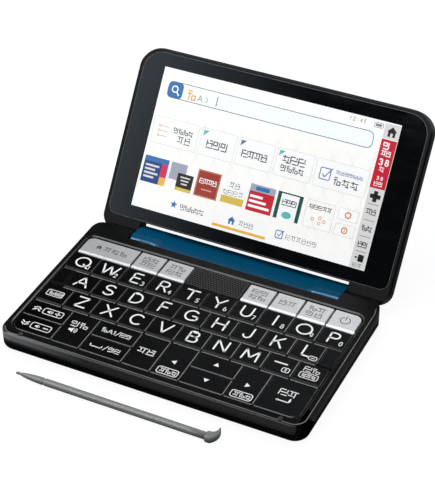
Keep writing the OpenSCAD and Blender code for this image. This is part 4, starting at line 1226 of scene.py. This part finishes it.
# The row of tiles, some with a coloured corner
for x0, x1, corner in TILES:
    panel(x0, TILE_TOP, x1, TILE_FOOT, "white", 2, 0.9)
    frame_line(x0, TILE_TOP, x1, TILE_FOOT, "line_grey", 3)
    if corner:
        triangle = [(sx(x0 + 1.0), sy(28.0)), (sx(x0 + 3.9), sy(25.1)), (sx(x0 + 1.0), sy(25.1))]
        picture.plate(triangle, *layer(4), corner)
for i in range(3):
    y = 28.4 + i * 2.4
    pen([(5.6, y), (9.6, y)], 0.3, "salmon", 4)
    pen(round_path(4.9, y, 0.6, SIX_POINTS), 0.28, "salmon", 4, True)
words(12.6, 23.2, 30.2, 2.3, "text_dark", 4, 0.3)
words(15.6, 23.2, 34.6, 3.0, "text_dark", 4, 0.34, 2)
words(30.8, 42.6, 33.0, 3.5, "text_dark", 4, 0.42, 1)
words(50.0, 63.4, 32.8, 3.1, "text_dark", 4, 0.42, 3)
words(70.9, 83.0, 30.4, 3.4, "text_dark", 4, 0.42, 4)
words(70.9, 83.0, 34.4, 2.6, "text_dark", 4, 0.34, 0)
frame_line(90.6, 28.0, 95.8, 33.4, "slate", 4, 0.6, 0.5)
pen([(92.0, 31.0), (93.2, 32.2), (96.3, 27.6)], 0.5, "slate", 5)
words(98.2, 112.0, 29.4, 1.5, "slate", 4, 0.22, 2)
words(98.2, 111.4, 34.4, 3.3, "text_dark", 4, 0.4, 5)

# The row of cards
card(1.3, 14.4, "deep_blue")
panel(1.3, 44.0, 14.4, 46.6, "sky_blue", 3)
panel(11.0, 46.6, 14.4, 53.0, "rose", 3)
panel(11.0, 53.0, 14.4, 57.0, "amber", 3)
for i in range(4):
    panel(2.4, 48.0 + i * 1.9, 9.8 - (i % 2) * 1.8, 49.0 + i * 1.9, "bar_grey", 4)
card(15.8, 24.4, "steel_blue", 44.0, 52.4)
panel(20.3, 48.5, 28.8, 57.0, "black", 3)
panel(20.3, 55.4, 28.8, 57.0, "gold", 4)
for i in range(3):
    panel(22.0 + i * 0.5, 49.9 + i * 1.6, 27.2 - i * 0.5, 50.6 + i * 1.6, "bar_grey", 4)
card(30.5, 42.8, "brick")
frame_line(30.9, 44.4, 42.4, 56.6, "copper", 3, 0.3, 0.3)
words(32.2, 41.4, 50.4, 2.2, "white", 4, 0.32, 3)
panel(34.0, 53.0, 39.4, 53.6, "salmon", 4)
card(44.8, 56.7, "white")
words(47.8, 54.0, 48.8, 2.4, "text_dark", 3, 0.24, 2)
words(45.2, 56.4, 52.4, 2.2, "text_grey", 3, 0.24, 4)
panel(44.8, 53.0, 56.7, 56.5, "gold", 3)
card(58.5, 71.7, "red")
panel(58.5, 44.0, 71.7, 47.4, "steel_blue", 3)
panel(61.4, 44.8, 68.6, 46.7, "sky_blue", 4, 0.8)
for i in range(3):
    panel(59.4, 49.2 + i * 2.4, 66.0 + i * 2.2, 50.4 + i * 2.4, "white", 4)
card(73.0, 86.0, "white")
panel(73.0, 44.0, 74.9, 57.0, "forest", 3)
panel(84.1, 44.0, 86.0, 57.0, "forest", 3)
panel(74.0, 44.0, 85.0, 44.7, "forest", 3)
words(75.8, 83.4, 50.0, 2.6, "text_dark", 4, 0.34, 1)
picture.plate([(sx(79.5 + 2.5 * math.cos(a / 2.9)), sy(54.6 - 1.7 * math.sin(a / 2.9))) for a in range(18)],
              *layer(4), "teal")
frame_line(88.2, 44.1, 102.5, 57.0, "line_grey", 3, 0.4)
words(89.6, 101.2, 48.0, 1.9, "text_dark", 4, 0.26, 4)
for x, y in ((92.6, 52.8), (96.2, 51.6), (96.2, 54.2), (98.6, 52.9)):
    pen(round_path(x, y, 0.75, SIX_POINTS), 0.3, "copper", 4, True)
for y0, y1, has_bar in ((44.1, 49.6, False), (51.4, 57.0, True)):
    frame_line(104.4, y0, 114.2, y1, "line_grey", 3, 0.4)
    cy = (y0 + y1) / 2
    pen(round_path(109.3, cy, 1.35, [a / 2.5 for a in range(15, 0, -1)]), 0.62, "copper", 4, True)
    if has_bar:
        pen([(109.3, cy - 0.5), (109.3, cy + 0.5)], 0.5, "copper", 4)

# The bar at the foot: a star, a house and a ticked box, with words
panel(43.6, 61.0, 72.2, 68.6, "white", 2)
frame_line(43.7, 61.1, 72.2, 68.6, "cream", 3, 0.4)
panel(43.8, 67.3, 72.0, 68.6, "amber", 4)
star = []
for i in range(10):
    r = 0.85 if i % 2 else 2.1
    a = math.radians(90 + 36 * i)
    star.append((sx(22.0 + r * math.cos(a)), sy(64.1 - r * math.sin(a))))
picture.plate(star, *layer(2), "sky_blue")
words(25.6, 38.2, 65.6, 2.4, "text_dark", 2, 0.26, 0)
stamp(picture, HOUSE, sx(53.2), sy(64.1), 4.0, (*layer(4), "sky_blue"))
words(57.2, 65.2, 65.4, 2.2, "text_grey", 4, 0.26, 2)
frame_line(76.6, 62.4, 80.2, 66.0, "sky_blue", 3, 0.5, 0.45)
pen([(77.6, 64.2), (78.4, 65.0), (80.4, 62.0)], 0.4, "sky_blue", 4)
words(82.0, 98.4, 65.6, 2.2, "text_grey", 2, 0.24, 3)

# The column of buttons at the right
panel(115.8, 0.6, 123.4, 69.6, "bar_grey", 2)
panel(116.0, 7.6, 123.2, 8.0, "white", 3)
stamp(picture, HOUSE, sx(119.8), sy(4.3), 5.0, (*layer(4), "black"))
panel(115.8, 8.0, 123.4, 31.2, "red", 4)
words(117.4, 122.0, 12.4, 2.9, "white", 5, 0.5, 0)
words(117.2, 122.0, 15.6, 2.2, "white", 5, 0.36, 2)
write(picture, "38", sx(117.2), sy(20.0), 2.0, 2.7, 0.6, *layer(5), "white", 2.9)
words(118.2, 121.0, 23.0, 2.2, "white", 5, 0.3, 4)
write(picture, "38", sx(118.1), sy(27.0), 1.2, 1.5, 0.3, *layer(5), "white", 1.9)
words(117.4, 122.0, 30.0, 1.9, "white", 5, 0.26, 1)
panel(118.7, 32.4, 120.7, 37.6, "black", 4, 0.3)
panel(117.1, 34.0, 122.3, 36.0, "black", 4, 0.3)
for y in (38.8, 46.5, 54.3, 61.6):
    panel(117.0, y - 0.15, 122.4, y + 0.15, "text_grey", 4)
for y, first in ((43.6, 2), (51.6, 5), (59.4, 1)):
    words(117.2, 122.2, y, 2.3, "text_dark", 4, 0.34, first)
panel(119.0, 63.0, 121.8, 66.4, "black", 4, 0.4)
panel(117.4, 64.2, 118.6, 65.0, "black", 4, 0.3)
words(117.4, 122.0, 69.2, 1.7, "text_grey", 4, 0.24, 3)
picture.make("screen_picture", LID, "lid")

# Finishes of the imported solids

CARRIED = {
    "bottom_case": "low_black", "keyboard_deck": "deck_black", "circuit_board": "board",
    "key_rubber_sheet": "sheet", "battery_pack": "foil", "rubber_pads": "rubber",
    "hinge_link": "link_teal", "hinge_pins": "steel", "lid_shell": "case_black", "touch_glass": "glass",
    "display_panel": "paper",
}
for node_name, finish_name in CARRIED.items():
    node = frame["nodes"][node_name]
    if not node.material_slots:
        node.data.materials.append(FINISHES[finish_name])
    for slot in node.material_slots:
        slot.material = FINISHES[finish_name]

# Camera, light and floor

FOCAL_LENGTH = 122.46
SENSOR_WIDTH = 36.0
CAMERA_PLACE = (0.275935, -0.546411, 0.506541)
CAMERA_RIGHT = Vector((0.8978995, 0.4400344, -0.0120902))
CAMERA_DOWN = Vector((0.2602907, -0.5528774, -0.7915651))
CAMERA_AHEAD = Vector((-0.3550003, 0.7075990, -0.6109652))
FLOOR_HALF = 6
FLOOR_GLOW = 0.92
MIRRORED_FLOOR = 0.12
MATT_LIGHT = 0.50
DARK_SHINE = 0.04


def pale_floor():
    """White to the camera and through clear things, faint in glossy ones, and grey to all other light."""
    f = Finish("pale_floor")
    mirrored = f.ray("Is Glossy Ray") * MIRRORED_FLOOR
    seen = f.ray("Is Camera Ray").math("MAXIMUM", mirrored.math("MAXIMUM", f.ray("Is Transmission Ray")))
    dull = f.add("ShaderNodeBsdfDiffuse", None, {"Color": (0.42, 0.42, 0.42)})
    faint = f.add("ShaderNodeBsdfDiffuse", None, {"Color": (0.10, 0.10, 0.10)})
    glow = f.add("ShaderNodeEmission", None, {"Color": (1, 1, 1), "Strength": FLOOR_GLOW})
    bright = f.add("ShaderNodeAddShader", None, {0: faint, 1: glow})
    return f.close(f.add("ShaderNodeMixShader", None, {0: seen, 1: dull, 2: bright}))


def studio_world():
    """White to the camera, even light for matt surfaces, and soft boxes for glossy ones."""
    f = Finish("studio_world", world=True)
    glossy_ray = f.ray("Is Glossy Ray")
    way = f.add("ShaderNodeTexCoord", out="Generated")
    height = f.add("ShaderNodeSeparateXYZ", None, {"Vector": way}, out="Z")

    def rise(value, low, high):
        """0 below one value, 1 above the other, and smooth between them."""
        return f.add("ShaderNodeMapRange", {"interpolation_type": "SMOOTHSTEP"},
                     {"Value": value, "From Min": low, "From Max": high, "To Min": 0.0, "To Max": 1.0})

    def along(direction):
        """How far a ray goes in a direction."""
        aim = tuple(Vector(direction).normalized())
        return f.add("ShaderNodeVectorMath", {"operation": "DOT_PRODUCT"}, {0: way, 1: aim}, out="Value")

    def round_box(direction, inner, outer):
        """A round light that fades between two half angles in degrees."""
        return rise(along(direction), math.cos(math.radians(outer)), math.cos(math.radians(inner)))

    strip_over = (rise(height, 0.57, 0.64) * (1 - rise(height, 0.84, 0.92))
                  * rise(along((-0.5, -0.866, 0)), 0.28, 0.42))
    wall_left = (rise(along((-0.927, 0.375, 0)), 0.0, 0.16) * rise(along((-0.8, -0.6, 0)), 0.2, 0.45)
                 * rise(height, 0.1, 0.3) * (1 - rise(height, 0.55, 0.63)))
    back_right = round_box((0.61, 0.707, 0.353), 15, 28)
    above = round_box((-0.355, 0.05, 0.93), 10, 25)
    ridge_glint = round_box((-0.355, -0.25, 0.90), 2.5, 7)
    shine = (DARK_SHINE + strip_over * 6.0 + wall_left * 1.6 + back_right * 5.0 + above * 0.35
             + ridge_glint * 12.0)
    level = glossy_ray * shine + (1 - glossy_ray) * MATT_LIGHT
    seen = f.ray("Is Camera Ray").math("MAXIMUM", f.ray("Is Transmission Ray"))
    strength = level.math("MAXIMUM", seen)
    return f.close(f.add("ShaderNodeBackground", None, {"Color": (1, 1, 1), "Strength": strength}))


def softbox(name, place, target, side, power):
    """A square lamp that only lights, and shows neither to the camera nor in reflections."""
    light = bpy.data.lights.new(name, "AREA")
    light.shape = "RECTANGLE"
    light.size = light.size_y = side
    light.energy = power
    lamp = bpy.data.objects.new(name, light)
    bpy.context.scene.collection.objects.link(lamp)
    lamp.location = place
    lamp.rotation_euler = (Vector(target) - Vector(place)).to_track_quat("-Z", "Y").to_euler()
    lamp.visible_camera = False
    lamp.visible_glossy = False


camera_data = bpy.data.cameras.new("photo_camera")
camera_data.lens = FOCAL_LENGTH
camera_data.sensor_width = SENSOR_WIDTH
camera_data.clip_start = 0.01
camera_data.clip_end = 20.0
camera = bpy.data.objects.new("photo_camera", camera_data)
bpy.context.scene.collection.objects.link(camera)
turn = Matrix((CAMERA_RIGHT, -CAMERA_DOWN, -CAMERA_AHEAD)).transposed()
camera.matrix_world = Matrix.Translation(CAMERA_PLACE) @ turn.to_4x4()
bpy.context.scene.camera = camera
bpy.context.scene.view_settings.view_transform = "Standard"

floor_mesh = bpy.data.meshes.new("studio_floor")
floor_corners = [(x, y, 0) for x, y in square(-FLOOR_HALF, -FLOOR_HALF, FLOOR_HALF, FLOOR_HALF)]
floor_mesh.from_pydata(floor_corners, [], [(0, 1, 2, 3)])
floor = bpy.data.objects.new("studio_floor", floor_mesh)
bpy.context.scene.collection.objects.link(floor)
floor_mesh.materials.append(pale_floor())

bpy.context.scene.world = studio_world()
softbox("top_softbox", (-0.25, 0.15, 0.95), (0, 0, 0.02), 0.8, 7.0)
softbox("front_softbox", (-0.55, -0.75, 0.45), (0, 0, 0.03), 0.5, 1.6)
